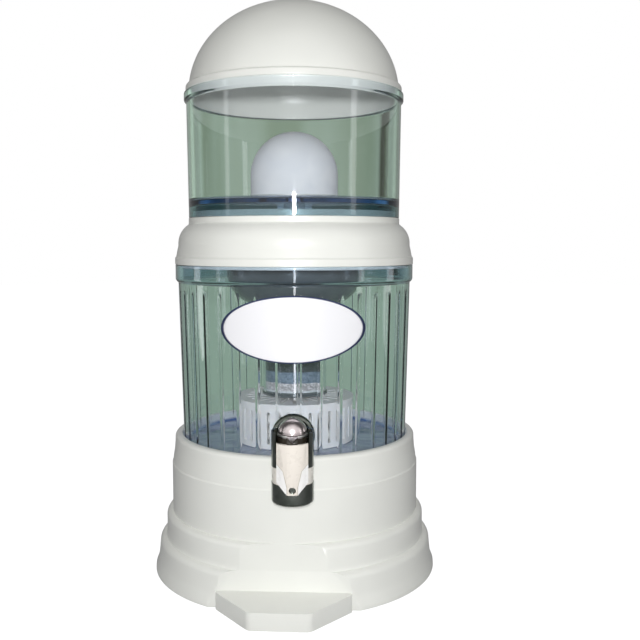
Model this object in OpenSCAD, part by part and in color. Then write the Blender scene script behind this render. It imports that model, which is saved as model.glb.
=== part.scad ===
// Countertop gravity water filter with a lever tap.
// Origin: the vessel axis where it meets the worktop. +Z is up and the tap looks along -Y.
// The pieces stack from the worktop up: stand, lower tank, collar, upper tank, lid.

/* [Stand] */
// Height of the stand, from the worktop to the rim
stand_h = 137.2; // [130:0.2:145]
// Wall thickness of the stand
stand_wall = 3; // [2.4:0.2:4]
// Depth of the recess that the lower tank stands in
seat_depth = 13.2; // [8:0.2:16]
// Thickness of the deck under the tank
deck_t = 3; // [2.4:0.2:5]
// Radius of the hole in the deck
deck_hole_r = 60; // [40:1:80]
// Width of the rim round the recess
rim_w = 7.8; // [6:0.2:10]
// Radius that rounds the rim's outer edge
rim_round = 4; // [2:0.5:5]
// How far the main wall stands out from the rim
rim_step = 3; // [1.5:0.1:4]
// Height of the fine step line round the main wall
step_line_z = 108; // [95:1:115]
// How far the upper tier stands out from the main wall
mid_step = 6; // [4:0.5:8]
// Height of the upper tier's shoulder
mid_tier_h = 60; // [54:1:75]
// How far the lower tier stands out from the upper tier
low_step = 7; // [5:0.5:9]
// Height of the lower tier's shoulder
low_tier_h = 34.5; // [30:0.5:46]
// How far the foot flares out from the lower tier
foot_flare = 4.8; // [2:0.2:8]
// Height of the foot's flare
foot_h = 10.5; // [8:0.5:16]
// Number of ribs under the deck
deck_ribs = 12; // [6:1:18]
// Depth of the ribs under the deck
rib_depth = 26; // [12:1:34]
// Thickness of a rib
rib_t = 2.4; // [1.6:0.2:3]
// How far the ledge's front edge stands out from the foot
ledge_out = 26.2; // [20:0.2:36]
// Width of the ledge at its front edge
ledge_front_w = 53; // [40:1:80]
// Width of the ledge where it leaves the foot
ledge_back_w = 122; // [100:1:140]
// Thickness of the ledge
ledge_t = 16; // [12:0.5:22]
// Radius that rounds the ledge's front corners
ledge_corner_r = 9; // [4:0.5:14]
// How far the stand is turned from the tap's line, as it was set down
stand_turn = -4; // [-8:0.5:8]

/* [Lower tank] */
// Outer radius of the lower tank at its floor
tank_r = 112.2; // [108:0.2:116]
// Extra radius that the mould draft gives at the top of the wall
tank_draft = 3.6; // [2:0.2:5]
// Height of the lower tank
tank_h = 181.2; // [170:0.2:215]
// Wall thickness of the lower tank
tank_wall = 3; // [2.4:0.2:4]
// Thickness of the lower tank's floor
tank_floor_t = 4; // [3:0.2:6]
// Height of the plain band round the tank's mouth
band_h = 15; // [10:0.5:20]
// How far the band stands out from the wall
band_step = 2.7; // [1.5:0.1:4]
// Number of flutes round the wall
flute_count = 38; // [24:1:48]
// Radius of the groove between two flutes
groove_r = 2.4; // [1.5:0.1:3]
// Depth of the groove between two flutes
groove_depth = 1.1; // [0.6:0.1:1.6]
// How far the row of flutes is turned from the tap's line
flute_turn = -2; // [-5:0.1:5]

/* [Badge] */
// Width of the oval badge
badge_w = 130; // [100:1:150]
// Height of the oval badge
badge_h = 60; // [40:1:66]
// Height of the badge's centre above the tank's floor
badge_rise = 126; // [110:1:136]
// Thickness of the badge
badge_t = 0.8; // [0.5:0.1:1.5]

/* [Collar] */
// Height of the collar's deck above the lower tank's rim
collar_h = 39.2; // [34:0.2:46]
// Wall thickness of the collar
collar_wall = 3; // [2.4:0.2:4]
// Radius of the collar's rounded shoulder
shoulder_r = 22; // [16:0.5:24]
// Radius of the opening that the cartridge hangs through
opening_r = 74; // [71:0.5:82]
// Height of the lip that carries the upper tank
lip_h = 6; // [4:0.5:9]
// Depth of the spigot inside the lower tank's mouth
spigot_h = 3; // [2:0.5:14]

/* [Upper tank] */
// How far the upper tank's foot stands in from the lower tank's wall
upper_in = 7.6; // [5:0.2:10]
// Extra radius at the top of the upper tank's wall
upper_draft = 1.2; // [0.4:0.2:2]
// Height of the upper tank
upper_h = 120.6; // [110:0.2:150]
// Wall thickness of the upper tank
upper_wall = 3; // [2.4:0.2:3.6]
// Height of the skirt under the upper tank's floor
skirt_h = 12; // [9:0.5:16]
// Thickness of the upper tank's floor
upper_floor_t = 3.5; // [2.6:0.1:5]
// Height of the flange round the upper tank's mouth
flange_h = 7; // [5:0.5:10]
// How far the flange stands out from the wall
flange_step = 2.2; // [1.4:0.2:4]

/* [Lid] */
// Height of the lid above the upper tank's rim
lid_h = 89; // [70:1:110]
// Wall thickness of the lid
lid_wall = 2.6; // [2:0.2:4]
// Height of the lid's lip
lid_lip_h = 7; // [5:0.5:10]
// How far the lip stands out from the dome
lid_lip_step = 2.7; // [1.5:0.1:4]
// Depth of the lid's spigot inside the upper tank
lid_spigot_h = 8; // [5:0.5:14]

/* [Ceramic dome] */
// Outer radius of the ceramic dome
dome_r = 43.5; // [38:0.5:46]
// Height of the ceramic dome
dome_h = 64; // [56:0.5:80]
// Wall thickness of the ceramic
dome_wall = 8; // [6:0.5:10]
// Thickness of the plastic base under the ceramic
dome_base_t = 4; // [3:0.5:8]
// Thickness of the washer between the base and the floor
dome_washer_t = 2.1; // [1.5:0.1:3]
// Radius of the stud through the floor
stud_r = 6; // [5:0.5:8]
// Length of the stud below the base
stud_l = 30; // [28:0.5:34]
// Height of the wing nut's hub
wing_nut_h = 9; // [7:0.5:10]
// Radius of the wing nut's hub
wing_hub_r = 11; // [9.5:0.5:14]
// Distance between the wing nut's two tips
wing_span = 44; // [32:1:56]

/* [Cartridge] */
// Radius of the cartridge bowl at its mouth
bowl_r = 68; // [64:0.5:70]
// Height of the cartridge bowl
bowl_h = 58; // [50:0.5:62]
// Radius that rounds the bowl's bottom edge
bowl_bend = 38; // [34:0.5:40]
// Length of the socket that holds the tube
socket_l = 8; // [5:0.5:12]
// Wall thickness of the bowl and its cap
bowl_wall = 2.5; // [2:0.1:3.5]
// Gap from the upper tank's floor down to the bowl's cap
cap_drop = 40; // [36:0.5:48]
// Outer radius of the cartridge tube
tube_r = 32; // [28:0.5:36]
// Wall thickness of the cartridge tube
tube_wall = 2; // [1.5:0.1:3]
// Gap between the cartridge's foot and the basket's lid
foot_gap = 2.4; // [1.5:0.1:30]
// Height of the foot that closes the tube
foot_cap_h = 4; // [3:0.5:9]
// Thickness of the foot's outer plate
foot_plate_t = 2; // [1.5:0.1:2.5]
// Number of slots through the foot
foot_slots = 8; // [6:1:12]
// Depth of the silica sand
silica_h = 7.5; // [6:0.5:14]
// Depth of the mineral sand
sand_h = 11.1; // [6:0.1:16]
// Thickness of a felt pad
pad_t = 2; // [1.5:0.1:3]

/* [Mineral basket] */
// Outer radius of the mineral basket
basket_r = 59; // [50:0.5:62]
// Height of the basket's cup
basket_h = 41; // [34:0.5:46]
// Wall thickness of the basket
basket_wall = 2; // [1.6:0.1:3]
// Number of slots round the basket
basket_slots = 36; // [24:2:44]
// Width of a slot
slot_w = 3; // [2:0.1:4]
// Thickness of the basket's lid
basket_lid_t = 3; // [2:0.1:4]
// Radius of a mineral stone
stone_r = 7; // [5:0.5:8]
// Number of layers of stones
stone_layers = 2; // [1:1:2]

/* [Tap] */
// Radius of the tap's flange
tap_flange_r = 19.2; // [16:0.1:20]
// Thickness of the tap's flange
tap_flange_t = 5; // [3:0.5:7]
// Radius of the threaded shank
shank_r = 8; // [7.2:0.1:9]
// Radius of the waterway through the shank
waterway_r = 3; // [2:0.1:3.4]
// Distance from the tank's pad to the barrel's axis
tap_reach = 37.4; // [36:0.2:44]
// Outer radius of the tap's barrel
barrel_r = 18; // [17.4:0.1:20]
// Distance from the shank's axis down to the pale band
band_drop = 31.2; // [28:0.1:34]
// Wall thickness of the barrel's covers
cover_wall = 1.5; // [1:0.1:2]
// Height of the lower cover
lower_cover_h = 18; // [14:0.5:22]
// Height of the pale band between the covers
tap_band_h = 14; // [8:0.5:16]
// Height of the upper cover
upper_cover_h = 29.5; // [25:0.5:33]
// Distance from the upper cover's top edge down to the bonnet
bonnet_drop = 4.7; // [3:0.1:6]
// Width of the upper cover's notch
notch_w = 28; // [24:0.5:29]
// Outer radius of the valve chamber
chamber_r = 11; // [10.5:0.1:12]
// Bore radius of the valve chamber
chamber_bore_r = 8; // [7:0.1:8.6]
// Radius of the port that the valve seal closes
port_r = 4; // [3:0.1:4.6]
// Thickness of a tap washer
washer_t = 2; // [1.5:0.1:3]
// Height of the hexagon nut inside the tank
tap_nut_h = 8; // [6:0.5:12]
// Distance across the nut's corners, halved
tap_nut_r = 15; // [12:0.2:16]

/* [Valve and lever] */
// Radius of the valve stem
stem_r = 2.5; // [2:0.1:2.8]
// Radius of the eye at the top of the stem
eye_r = 3.6; // [3.2:0.1:4]
// Radius of the lever's pin
pin_r = 1.5; // [1.2:0.1:1.8]
// Length of the lever's pin
pin_l = 20; // [16:0.5:21]
// Height of the pin above the bonnet
pin_rise = 7; // [6.6:0.1:8]
// Swing of the lever from closed to fully open, in degrees
lever_swing = 80; // [60:1:85]
// Lift of the valve at full swing
valve_lift = 4; // [3:0.1:5]
// Radius of the lever's head
head_r = 12.7; // [12:0.1:13.4]
// Height of the straight edge under the head's dome
head_skirt = 2.8; // [2:0.1:4]
// How far that edge stands out from the dome
head_lip = 0.4; // [0.2:0.1:0.8]
// Width of the arm that joins the head to the paddle
arm_w = 9; // [7:0.5:14]
// Length of the tongue that holds the paddle
tongue_l = 6; // [4:0.5:8]
// Width of the paddle
paddle_w = 26.5; // [22:0.5:28]
// Width of the paddle's tip
tip_w = 9; // [5:0.5:12]
// Height over which the paddle narrows to its tip
tip_h = 10; // [7:0.5:14]
// Radius of the hole near the paddle's tip
tip_hole_r = 3; // [1.5:0.1:3.4]
// Thickness of the paddle
paddle_t = 2.2; // [1.8:0.1:3]
// Distance from the paddle's top edge down to its tip
paddle_l = 42.5; // [36:0.5:46]
// Wire radius of the valve spring
wire_r = 0.45; // [0.3:0.05:0.6]
// Mean radius of the valve spring
spring_r = 4; // [3.6:0.1:4.6]
// Number of turns in the valve spring
spring_turns = 7; // [5:0.5:9]

/* [Fits] */
// Radial gap where one moulding slips inside another
slip_gap = 0.4; // [0.3:0.05:0.6]
// Radial clearance of a turning or sliding shaft
run_gap = 0.05; // [0.02:0.01:0.08]
// Radial clearance of a screwed or pushed joint
thread_gap = 0.02; // [0.01:0.01:0.04]
// Gap between the lever's cam and the bonnet when the tap is closed
cam_gap = 0.15; // [0.1:0.05:0.3]

/* [Hidden] */

$fn = 96;
// Facets of an arc in a profile
arc_n = 8;
// Overshoot of a cutter past the face that it cuts
cut = 1;

// Heights up the stack
seat_z = stand_h - seat_depth;
tank_top_z = seat_z + tank_h;
tank_floor_z = seat_z + tank_floor_t;
collar_deck_z = tank_top_z + collar_h;
upper_z = collar_deck_z + lip_h;
upper_floor_under = upper_z + skirt_h;
upper_floor_z = upper_floor_under + upper_floor_t;
upper_top_z = upper_z + upper_h;

// Radii of the lower tank's wall
wall_top_z = tank_top_z - band_h - band_step;
function wall_r(z) = tank_r + tank_draft * (z - seat_z) / (wall_top_z - seat_z);
wall_lean = atan(tank_draft / (wall_top_z - seat_z));
band_r = tank_r + tank_draft + band_step;
upper_r = tank_r - upper_in;

// Radii of the stand, from the recess outwards
seat_r = wall_r(stand_h) + 3 * slip_gap;
rim_r = seat_r + rim_w;
main_r = rim_r + rim_step;
mid_r = main_r + mid_step;
low_r = mid_r + low_step;
foot_r = low_r + foot_flare;
ledge_reach = foot_r + ledge_out;

// Places on the tap
tap_z = stand_h + 0.3 + tap_flange_r;
pad_r = tap_flange_r - 1;
pad_y = wall_r(tap_z) + 1.6;
boss_y = wall_r(tap_z) - tank_wall - 1.6;
tap_y = -(pad_y + tap_reach);
band_z = tap_z - band_drop;
barrel_z = band_z - lower_cover_h;
cover_z = band_z + tap_band_h;
cover_top_z = cover_z + upper_cover_h;
bonnet_top_z = cover_top_z - bonnet_drop;
bonnet_t = 2.5;
bonnet_z = bonnet_top_z - bonnet_t;
pin_z = bonnet_top_z + pin_rise;
neck_r = shank_r - 1;
valve_seat_z = band_z + 0.5;
seal_h = 8;
stem_seal_h = 2;
cam_rate = valve_lift / (lever_swing * PI / 180);
cam_h = pin_rise - cam_gap;
paddle_in_r = barrel_r + 0.4;
paddle_r = paddle_in_r + paddle_t;
paddle_top = pin_rise + 3;

// Places of the basket
basket_z = tank_floor_z;
basket_lid_z = basket_z + basket_h;

// Places in the cartridge
cap_z = upper_floor_under - cap_drop;
bowl_z = cap_z - bowl_h;
foot_z = basket_lid_z + basket_lid_t + foot_gap;
tube_z = foot_z + foot_plate_t;
media_z = foot_z + foot_cap_h;
silica_z = media_z + pad_t;
sand_z = silica_z + silica_h;
carbon_z = sand_z + sand_h;
carbon_top_z = bowl_z - 2 * pad_t;
media_r = tube_r - tube_wall - thread_gap;
socket_out_r = tube_r + 2.2 * tube_wall;
// Facets of the bowl's bottom edge
bowl_n = 12;

// Places of the ceramic dome
dome_washer_z = upper_floor_z;
dome_base_z = dome_washer_z + dome_washer_t;
dome_z = dome_base_z + dome_base_t;

ivory = [0.91, 0.91, 0.87];
clear_blue = [0.62, 0.76, 0.80, 0.4];
dark_chrome = [0.22, 0.23, 0.22];
cream = [0.93, 0.89, 0.81];
silicone = [0.85, 0.85, 0.83];
dark_plastic = [0.28, 0.31, 0.32];

// Points along an arc in a profile, from angle a0 to a1
function arc(cx, cy, r, a0, a1, n = arc_n) =
    [for (i = [0:n]) let (a = a0 + (a1 - a0) * i / n) [cx + r * cos(a), cy + r * sin(a)]];

// Points along an upright ellipse in a profile
function oval_arc(cy, rx, ry, a0, a1, n) =
    [for (i = [0:n]) let (a = a0 + (a1 - a0) * i / n) [rx * cos(a), cy + ry * sin(a)]];

// A solid of revolution about the vessel axis
module turned(points) {
    rotate_extrude() polygon(points);
}

module ring(r_out, r_in, h) {
    difference() {
        cylinder(r = r_out, h = h);
        translate([0, 0, -cut]) cylinder(r = r_in, h = h + 2 * cut);
    }
}

// Turns a solid drawn along +Z so that it runs towards the front, along -Y
module forward() {
    rotate([90, 0, 0]) children();
}

// A plate drawn in the side view (Y, Z) and w wide along X
module side_plate(points, w) {
    translate([-w / 2, 0, 0]) rotate([90, 0, 90]) linear_extrude(w) polygon(points);
}

// ---------------------------------------------------------------- stand

// Outline of the stand from the foot up to the rim, moved inwards by w
function stand_outline(w) = concat(
    [[foot_r - w, 0], [foot_r - w, foot_h / 3]],
    [[low_r + foot_flare / 3 - w, foot_h - w / 2]],
    [[low_r + foot_flare / 5 - w, 0.6 * low_tier_h - w / 2]],
    arc(mid_r - w, low_tier_h - low_step - w, low_step, 0, 90),
    arc(main_r - w, mid_tier_h - mid_step - w, mid_step, 0, 90),
    [[main_r - w, step_line_z - w]],
    [[main_r - 0.3 * rim_step - w, step_line_z + 0.3 * rim_step - w]],
    [[rim_r + rim_step / 3 - w, step_line_z + 3 * rim_step - w]],
    [[rim_r - w, (step_line_z + stand_h) / 2 - w]],
    arc(rim_r - 0.4 - rim_round - w, stand_h - rim_round - w, rim_round, 0, 90)
);

// Outline of the drip ledge, moved inwards by w, with rounded front corners
function ledge_outline(w) =
    let (fw = ledge_front_w / 2 - w / 2, bw = ledge_back_w / 2 - w, fy = ledge_reach - w)
    let (by = sqrt(pow(foot_r, 2) - pow(ledge_back_w / 2, 2)))
    let (a = atan2(fy - by, bw - fw), r = ledge_corner_r - w / 2)
    let (k = r * tan((180 - a) / 2 - 90 + a), cx = fw - k, cy = fy - r)
    concat(
        [[-bw, -main_r + stand_wall + w], [-bw, -by]],
        [for (p = arc(cx, -cy, r, -a - 90 + 2 * a, -90)) [-p[0], p[1]]],
        arc(cx, -cy, r, -90, a - 90),
        [[bw, -by], [bw, -main_r + stand_wall + w]]
    );

module front_of_panel(inset) {
    reach = foot_r + cut;
    panel_y = main_r - inset;
    translate([-reach, -panel_y - reach, -cut]) cube([2 * reach, reach, mid_tier_h + cut]);
}

module stand_cavity() {
    difference() {
        turned(concat(
            [[0, -cut], [foot_r - stand_wall, -cut]],
            [for (p = stand_outline(stand_wall)) if (p[1] < seat_z - deck_t) p],
            [[rim_r - stand_wall, seat_z - deck_t], [0, seat_z - deck_t]]
        ));
        front_of_panel(stand_wall);
    }
}

module deck_rib_set() {
    intersection() {
        turned(concat([[0, 0]], stand_outline(stand_wall / 2), [[0, stand_h]]));
        union() {
            translate([0, 0, seat_z - deck_t - rib_depth])
                ring(deck_hole_r + stand_wall, deck_hole_r, rib_depth + deck_t / 2);
            for (i = [0:deck_ribs - 1])
                rotate([0, 0, (i + 0.5) * 360 / deck_ribs])
                    translate([deck_hole_r + rib_t / 2, -rib_t / 2, seat_z - deck_t - rib_depth])
                        cube([foot_r, rib_t, rib_depth + deck_t / 2]);
        }
    }
}

module ledge() {
    difference() {
        linear_extrude(ledge_t) polygon(ledge_outline(0));
        translate([0, 0, -cut])
            linear_extrude(ledge_t - stand_wall + cut) polygon(ledge_outline(stand_wall));
    }
}

module stand() {
    color(ivory) rotate([0, 0, stand_turn]) {
        difference() {
            turned(concat([[0, 0]], stand_outline(0), [[0, stand_h]]));
            front_of_panel(0);
            stand_cavity();
            translate([0, 0, seat_z]) cylinder(r = seat_r, h = seat_depth + cut);
            translate([0, 0, seat_z - deck_t - cut])
                cylinder(r = deck_hole_r, h = deck_t + 2 * cut);
        }
        deck_rib_set();
        ledge();
    }
}

// ----------------------------------------------------------- lower tank

// A groove cutter that leans with the wall, pointed at both ends
module flute_cutter() {
    groove_z = stand_h + 4 * slip_gap;
    groove_l = wall_top_z - 4 * groove_r - groove_z;
    translate([wall_r(groove_z) + groove_r - groove_depth, 0, groove_z])
        rotate([0, wall_lean, 0])
            turned([
                [0, -groove_r], [0.7 * groove_r, -0.7 * groove_r], [groove_r, 0],
                [groove_r, groove_l], [0.7 * groove_r, groove_l + 0.7 * groove_r],
                [0, groove_l + groove_r]
            ]);
}

module lower_tank() {
    floor_round = 5;
    mouth_r = band_r - tank_wall;
    color(clear_blue) difference() {
        union() {
            difference() {
                turned(concat(
                    [[0, seat_z], [tank_r - floor_round, seat_z]],
                    arc(tank_r - floor_round, seat_z + floor_round, floor_round, -90, 0),
                    [[wall_r(wall_top_z), wall_top_z], [band_r, wall_top_z + band_step]],
                    [[band_r, tank_top_z], [mouth_r, tank_top_z]],
                    [[mouth_r, wall_top_z + band_step], [mouth_r - band_step, wall_top_z]],
                    arc(tank_r - floor_round, seat_z + floor_round + tank_floor_t - tank_wall,
                        floor_round - tank_wall, 0, -90),
                    [[0, tank_floor_z]]
                ));
                for (i = [0:flute_count - 1])
                    rotate([0, 0, flute_turn - 90 + (i + 0.5) * 360 / flute_count]) flute_cutter();
            }
            translate([0, -boss_y, tap_z]) forward() cylinder(r = pad_r, h = pad_y - boss_y);
        }
        translate([0, -boss_y + cut, tap_z])
            forward() cylinder(r = shank_r + slip_gap / 2, h = pad_y - boss_y + 2 * cut);
    }
}

// Points round the badge's oval, moved inwards by w
function badge_points(w) =
    [for (i = [0:5:355]) [(badge_w / 2 - w) * cos(i), (badge_h / 2 - w) * sin(i)]];

// A thin plate that follows the tank's leaning wall, cut to an oval
module badge() {
    mid_z = seat_z + badge_rise;
    low_z = mid_z - badge_h / 2 - cut;
    high_z = mid_z + badge_h / 2 + cut;
    color("white") intersection() {
        turned([
            [wall_r(low_z) + run_gap, low_z], [wall_r(low_z) + badge_t, low_z],
            [wall_r(high_z) + badge_t, high_z], [wall_r(high_z) + run_gap, high_z]
        ]);
        translate([0, 0, mid_z]) forward() linear_extrude(2 * tank_r) polygon(badge_points(0));
    }
}

// ------------------------------------------------------------------ tap

// Puts a ring, drawn from z = 0 up, on the shank with its inner face at distance y
module on_shank(y) {
    translate([0, -y, tap_z]) forward() children();
}

module tap_outer_washer() {
    color(silicone) on_shank(pad_y) ring(pad_r - 1, shank_r + run_gap, washer_t);
}

module tap_inner_washer() {
    color(silicone) on_shank(boss_y - washer_t)
        ring(pad_r - 3, shank_r + run_gap, washer_t);
}

module tap_nut() {
    color(cream) on_shank(boss_y - washer_t - tap_nut_h) difference() {
        cylinder(r = tap_nut_r, h = tap_nut_h, $fn = 6);
        translate([0, 0, -cut]) cylinder(r = shank_r + thread_gap, h = tap_nut_h + 2 * cut);
    }
}

module tap_flange() {
    color(dark_chrome) on_shank(pad_y + washer_t) turned(concat(
        [[shank_r + thread_gap, 0], [tap_flange_r, 0], [tap_flange_r, tap_flange_t * 0.3]],
        arc(tap_flange_r - tap_flange_t * 0.7, tap_flange_t * 0.3, tap_flange_t * 0.7, 0, 90),
        [[shank_r + thread_gap, tap_flange_t]]
    ));
}

// The one-piece valve body: shank, shoulder, neck, chamber, band and spout
module tap_body() {
    nut_end_y = boss_y - 2 * washer_t - tap_nut_h;
    shoulder_y = pad_y + washer_t + tap_flange_t;
    land_h = 2 * cover_wall;
    spout_r = 2 * port_r;
    color(cream) difference() {
        union() {
            on_shank(nut_end_y) cylinder(r = shank_r, h = shoulder_y - nut_end_y + cut);
            on_shank(shoulder_y) cylinder(r = 1.55 * shank_r, h = 2 * cover_wall);
            on_shank(shoulder_y) cylinder(r = neck_r, h = -tap_y - shoulder_y);
            translate([0, tap_y, 0]) {
                translate([0, 0, barrel_z + cover_wall])
                    cylinder(r = chamber_r, h = bonnet_z - barrel_z - cover_wall);
                translate([0, 0, barrel_z + cover_wall / 5]) cylinder(r = spout_r, h = port_r);
                translate([0, 0, band_z]) cylinder(r = barrel_r - 0.5, h = tap_band_h);
                translate([0, 0, band_z - land_h])
                    cylinder(r = barrel_r - cover_wall - run_gap, h = tap_band_h + 2 * land_h);
            }
        }
        on_shank(nut_end_y - cut) cylinder(r = waterway_r, h = -tap_y - nut_end_y + cut);
        translate([0, tap_y, 0]) {
            translate([0, 0, valve_seat_z]) cylinder(r = chamber_bore_r, h = pin_z);
            translate([0, 0, barrel_z]) cylinder(r = port_r, h = valve_seat_z);
            translate([0, 0, barrel_z - cut])
                cylinder(r = 1.4 * port_r, h = lower_cover_h / 2 + cut);
            translate([0, 0, bonnet_z]) cylinder(r = chamber_r + 2 * cover_wall, h = pin_z);
        }
    }
}

module tap_cover_lower() {
    hole_r = 2 * port_r + run_gap;
    inner_r = barrel_r - cover_wall;
    edge = 2 * cover_wall;
    color(dark_chrome) translate([0, tap_y, barrel_z]) turned(concat(
        [[hole_r, 0], [barrel_r - edge, 0]],
        arc(barrel_r - edge, edge, edge, -90, 0),
        [[barrel_r, lower_cover_h], [inner_r, lower_cover_h], [inner_r, edge]],
        [[inner_r - edge + cover_wall, cover_wall], [hole_r, cover_wall]]
    ));
}

// The upper cover: open at the top, notched for the lever, slotted for the neck
module tap_cover_upper() {
    notch_h = 0.58 * upper_cover_h;
    color(dark_chrome) translate([0, tap_y, cover_z]) difference() {
        ring(barrel_r, barrel_r - cover_wall, upper_cover_h);
        translate([-notch_w / 2, -barrel_r - cut, upper_cover_h - notch_h])
            cube([notch_w, barrel_r + cut, notch_h + cut]);
        translate([0, 0, tap_z - cover_z]) rotate([-90, 0, 0])
            cylinder(r = neck_r + slip_gap, h = barrel_r + cut);
        translate([-neck_r - slip_gap, 0, tap_z - cover_z])
            cube([2 * (neck_r + slip_gap), barrel_r + cut, upper_cover_h]);
    }
}

// A cap that snaps over the chamber, with a slot for the neck
module tap_bonnet() {
    skirt_l = 6;
    skirt_in_r = chamber_r + thread_gap;
    color(dark_plastic) translate([0, tap_y, 0]) difference() {
        translate([0, 0, bonnet_z - skirt_l]) cylinder(r = chamber_r + 1.9, h = skirt_l + bonnet_t);
        translate([0, 0, bonnet_z - skirt_l - cut]) cylinder(r = skirt_in_r, h = skirt_l + cut);
        translate([0, 0, bonnet_z - cut]) cylinder(r = stem_r + run_gap, h = bonnet_t + 2 * cut);
        translate([-neck_r - slip_gap, 0, bonnet_z - skirt_l - cut])
            cube([2 * (neck_r + slip_gap), barrel_r, skirt_l + cut]);
    }
}

module stem_seal() {
    color(silicone) translate([0, tap_y, bonnet_z - stem_seal_h])
        ring(spring_r + 1, stem_r + run_gap, stem_seal_h);
}

module valve_stem() {
    bottom_z = valve_seat_z + seal_h - 5;
    color("silver") translate([0, tap_y, 0]) difference() {
        union() {
            translate([0, 0, bottom_z]) cylinder(r = stem_r, h = pin_z - bottom_z);
            translate([-stem_r, 0, pin_z]) rotate([0, 90, 0]) cylinder(r = eye_r, h = 2 * stem_r);
        }
        translate([-stem_r - cut, 0, pin_z])
            rotate([0, 90, 0]) cylinder(r = pin_r + run_gap, h = 2 * (stem_r + cut));
    }
}

// The silicone cup on the stem's end, wide where it closes the port
module valve_seal() {
    color(silicone) translate([0, tap_y, valve_seat_z]) turned([
        [0, 0], [port_r + 2, 0], [port_r + 2, 2.5], [spring_r + 1, 4],
        [spring_r + 1, seal_h], [stem_r + thread_gap, seal_h],
        [stem_r + thread_gap, seal_h - 5], [0, seal_h - 5]
    ]);
}

module valve_spring() {
    sides = 8;
    steps = 16;
    z0 = valve_seat_z + seal_h + wire_r + run_gap;
    z1 = bonnet_z - stem_seal_h - wire_r - run_gap;
    rings = floor(spring_turns * steps);
    points = [for (i = [0:rings]) for (j = [0:sides - 1])
        let (a = i * 360 / steps, b = j * 360 / sides, r = spring_r + wire_r * cos(b))
        [r * cos(a), r * sin(a), z0 + (z1 - z0) * i / rings + wire_r * sin(b)]];
    faces = concat(
        [[for (j = [0:sides - 1]) j]],
        [for (i = [0:rings - 1]) for (j = [0:sides - 1])
            let (k = (j + 1) % sides)
            [i * sides + j, (i + 1) * sides + j, (i + 1) * sides + k, i * sides + k]],
        [[for (j = [sides - 1:-1:0]) rings * sides + j]]
    );
    color("silver") translate([0, tap_y, 0]) polyhedron(points, faces);
}

// ---------------------------------------------------------------- lever

// The cam under the head. At lever angle a its distance below the pin is
// cam_h + cam_rate * a, so the valve lifts in step with the swing.
cam_points = [for (i = [0:16])
    let (a = lever_swing * i / 16, h = cam_h + cam_rate * a * PI / 180)
    [h * sin(a) + cam_rate * cos(a), -h * cos(a) + cam_rate * sin(a)]];

module lever_head() {
    tongue_r = paddle_in_r - run_gap;
    slot = 1.1 * stem_r;
    eye_gap = 8 * run_gap;
    arm_in = chamber_r + 2.3;
    color(dark_chrome) translate([0, tap_y, pin_z]) difference() {
        union() {
            intersection() {
                union() {
                    translate([0, 0, -cam_h]) cylinder(r = head_r, h = head_skirt);
                    translate([0, 0, head_skirt - cam_h]) sphere(head_r - head_lip);
                }
                side_plate(concat(
                    [[-barrel_r, -cam_h]], cam_points,
                    [[barrel_r, 3], [barrel_r, barrel_r], [-barrel_r, barrel_r]]
                ), 2 * barrel_r);
            }
            intersection() {
                translate([0, 0, -paddle_top]) cylinder(r = paddle_r, h = paddle_top);
                side_plate([
                    [-barrel_r / 2, -cam_h], [-arm_in, -cam_h], [-tongue_r + 2, -paddle_top],
                    [-barrel_r * 2, -paddle_top], [-barrel_r * 2, -paddle_top + cover_wall],
                    [-paddle_r, -paddle_top + cover_wall],
                    [-barrel_r + 2, -cam_h + head_skirt - head_lip],
                    [-barrel_r / 2, -cam_h + head_skirt]
                ], arm_w);
            }
            intersection() {
                translate([0, 0, -paddle_top - tongue_l]) ring(tongue_r, tongue_r - 2, tongue_l + 1);
                translate([-arm_w / 2, -barrel_r * 2, -paddle_top - tongue_l])
                    cube([arm_w, barrel_r * 2, tongue_l + 1]);
            }
        }
        translate([-slot, -eye_r - eye_gap, -barrel_r])
            cube([2 * slot, 2 * barrel_r, barrel_r + eye_r + eye_gap]);
        translate([-barrel_r, 0, 0])
            rotate([0, 90, 0]) cylinder(r = pin_r + thread_gap, h = 2 * barrel_r);
    }
}

// The shield that the hand or a glass pushes, curved round the barrel
module lever_paddle() {
    hw = paddle_w / 2;
    tip_z = -paddle_top - paddle_l;
    side_z = tip_z + tip_h;
    rise_z = tip_z + 0.7 * tip_h;
    high_z = -paddle_top - 0.37 * paddle_l;
    color(cream) translate([0, tap_y, pin_z]) difference() {
        union() {
            intersection() {
                translate([0, 0, tip_z]) ring(paddle_r, paddle_in_r, paddle_l);
                forward() linear_extrude(2 * barrel_r) polygon([
                    [-hw, -paddle_top], [-hw, side_z], [-tip_w / 2, tip_z],
                    [tip_w / 2, tip_z], [hw, side_z], [hw, -paddle_top]
                ]);
            }
            intersection() {
                translate([0, 0, tip_z])
                    ring(paddle_r + paddle_t / 2, paddle_in_r + paddle_t / 2, paddle_l);
                forward() linear_extrude(2 * barrel_r) polygon([
                    [-hw * 0.85, -paddle_top], [-hw * 0.6, high_z],
                    [-hw * 0.5, side_z + 1], [-tip_w * 0.55, rise_z],
                    [tip_w * 0.55, rise_z], [hw * 0.5, side_z + 1],
                    [hw * 0.6, high_z], [hw * 0.85, -paddle_top]
                ]);
            }
        }
        translate([0, 0, tip_z + 0.4 * tip_h])
            forward() cylinder(r = tip_hole_r, h = 2 * barrel_r);
    }
}

module lever_pin() {
    color("silver") translate([-pin_l / 2, tap_y, pin_z])
        rotate([0, 90, 0]) cylinder(r = pin_r, h = pin_l);
}

// --------------------------------------------------------------- collar

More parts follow.
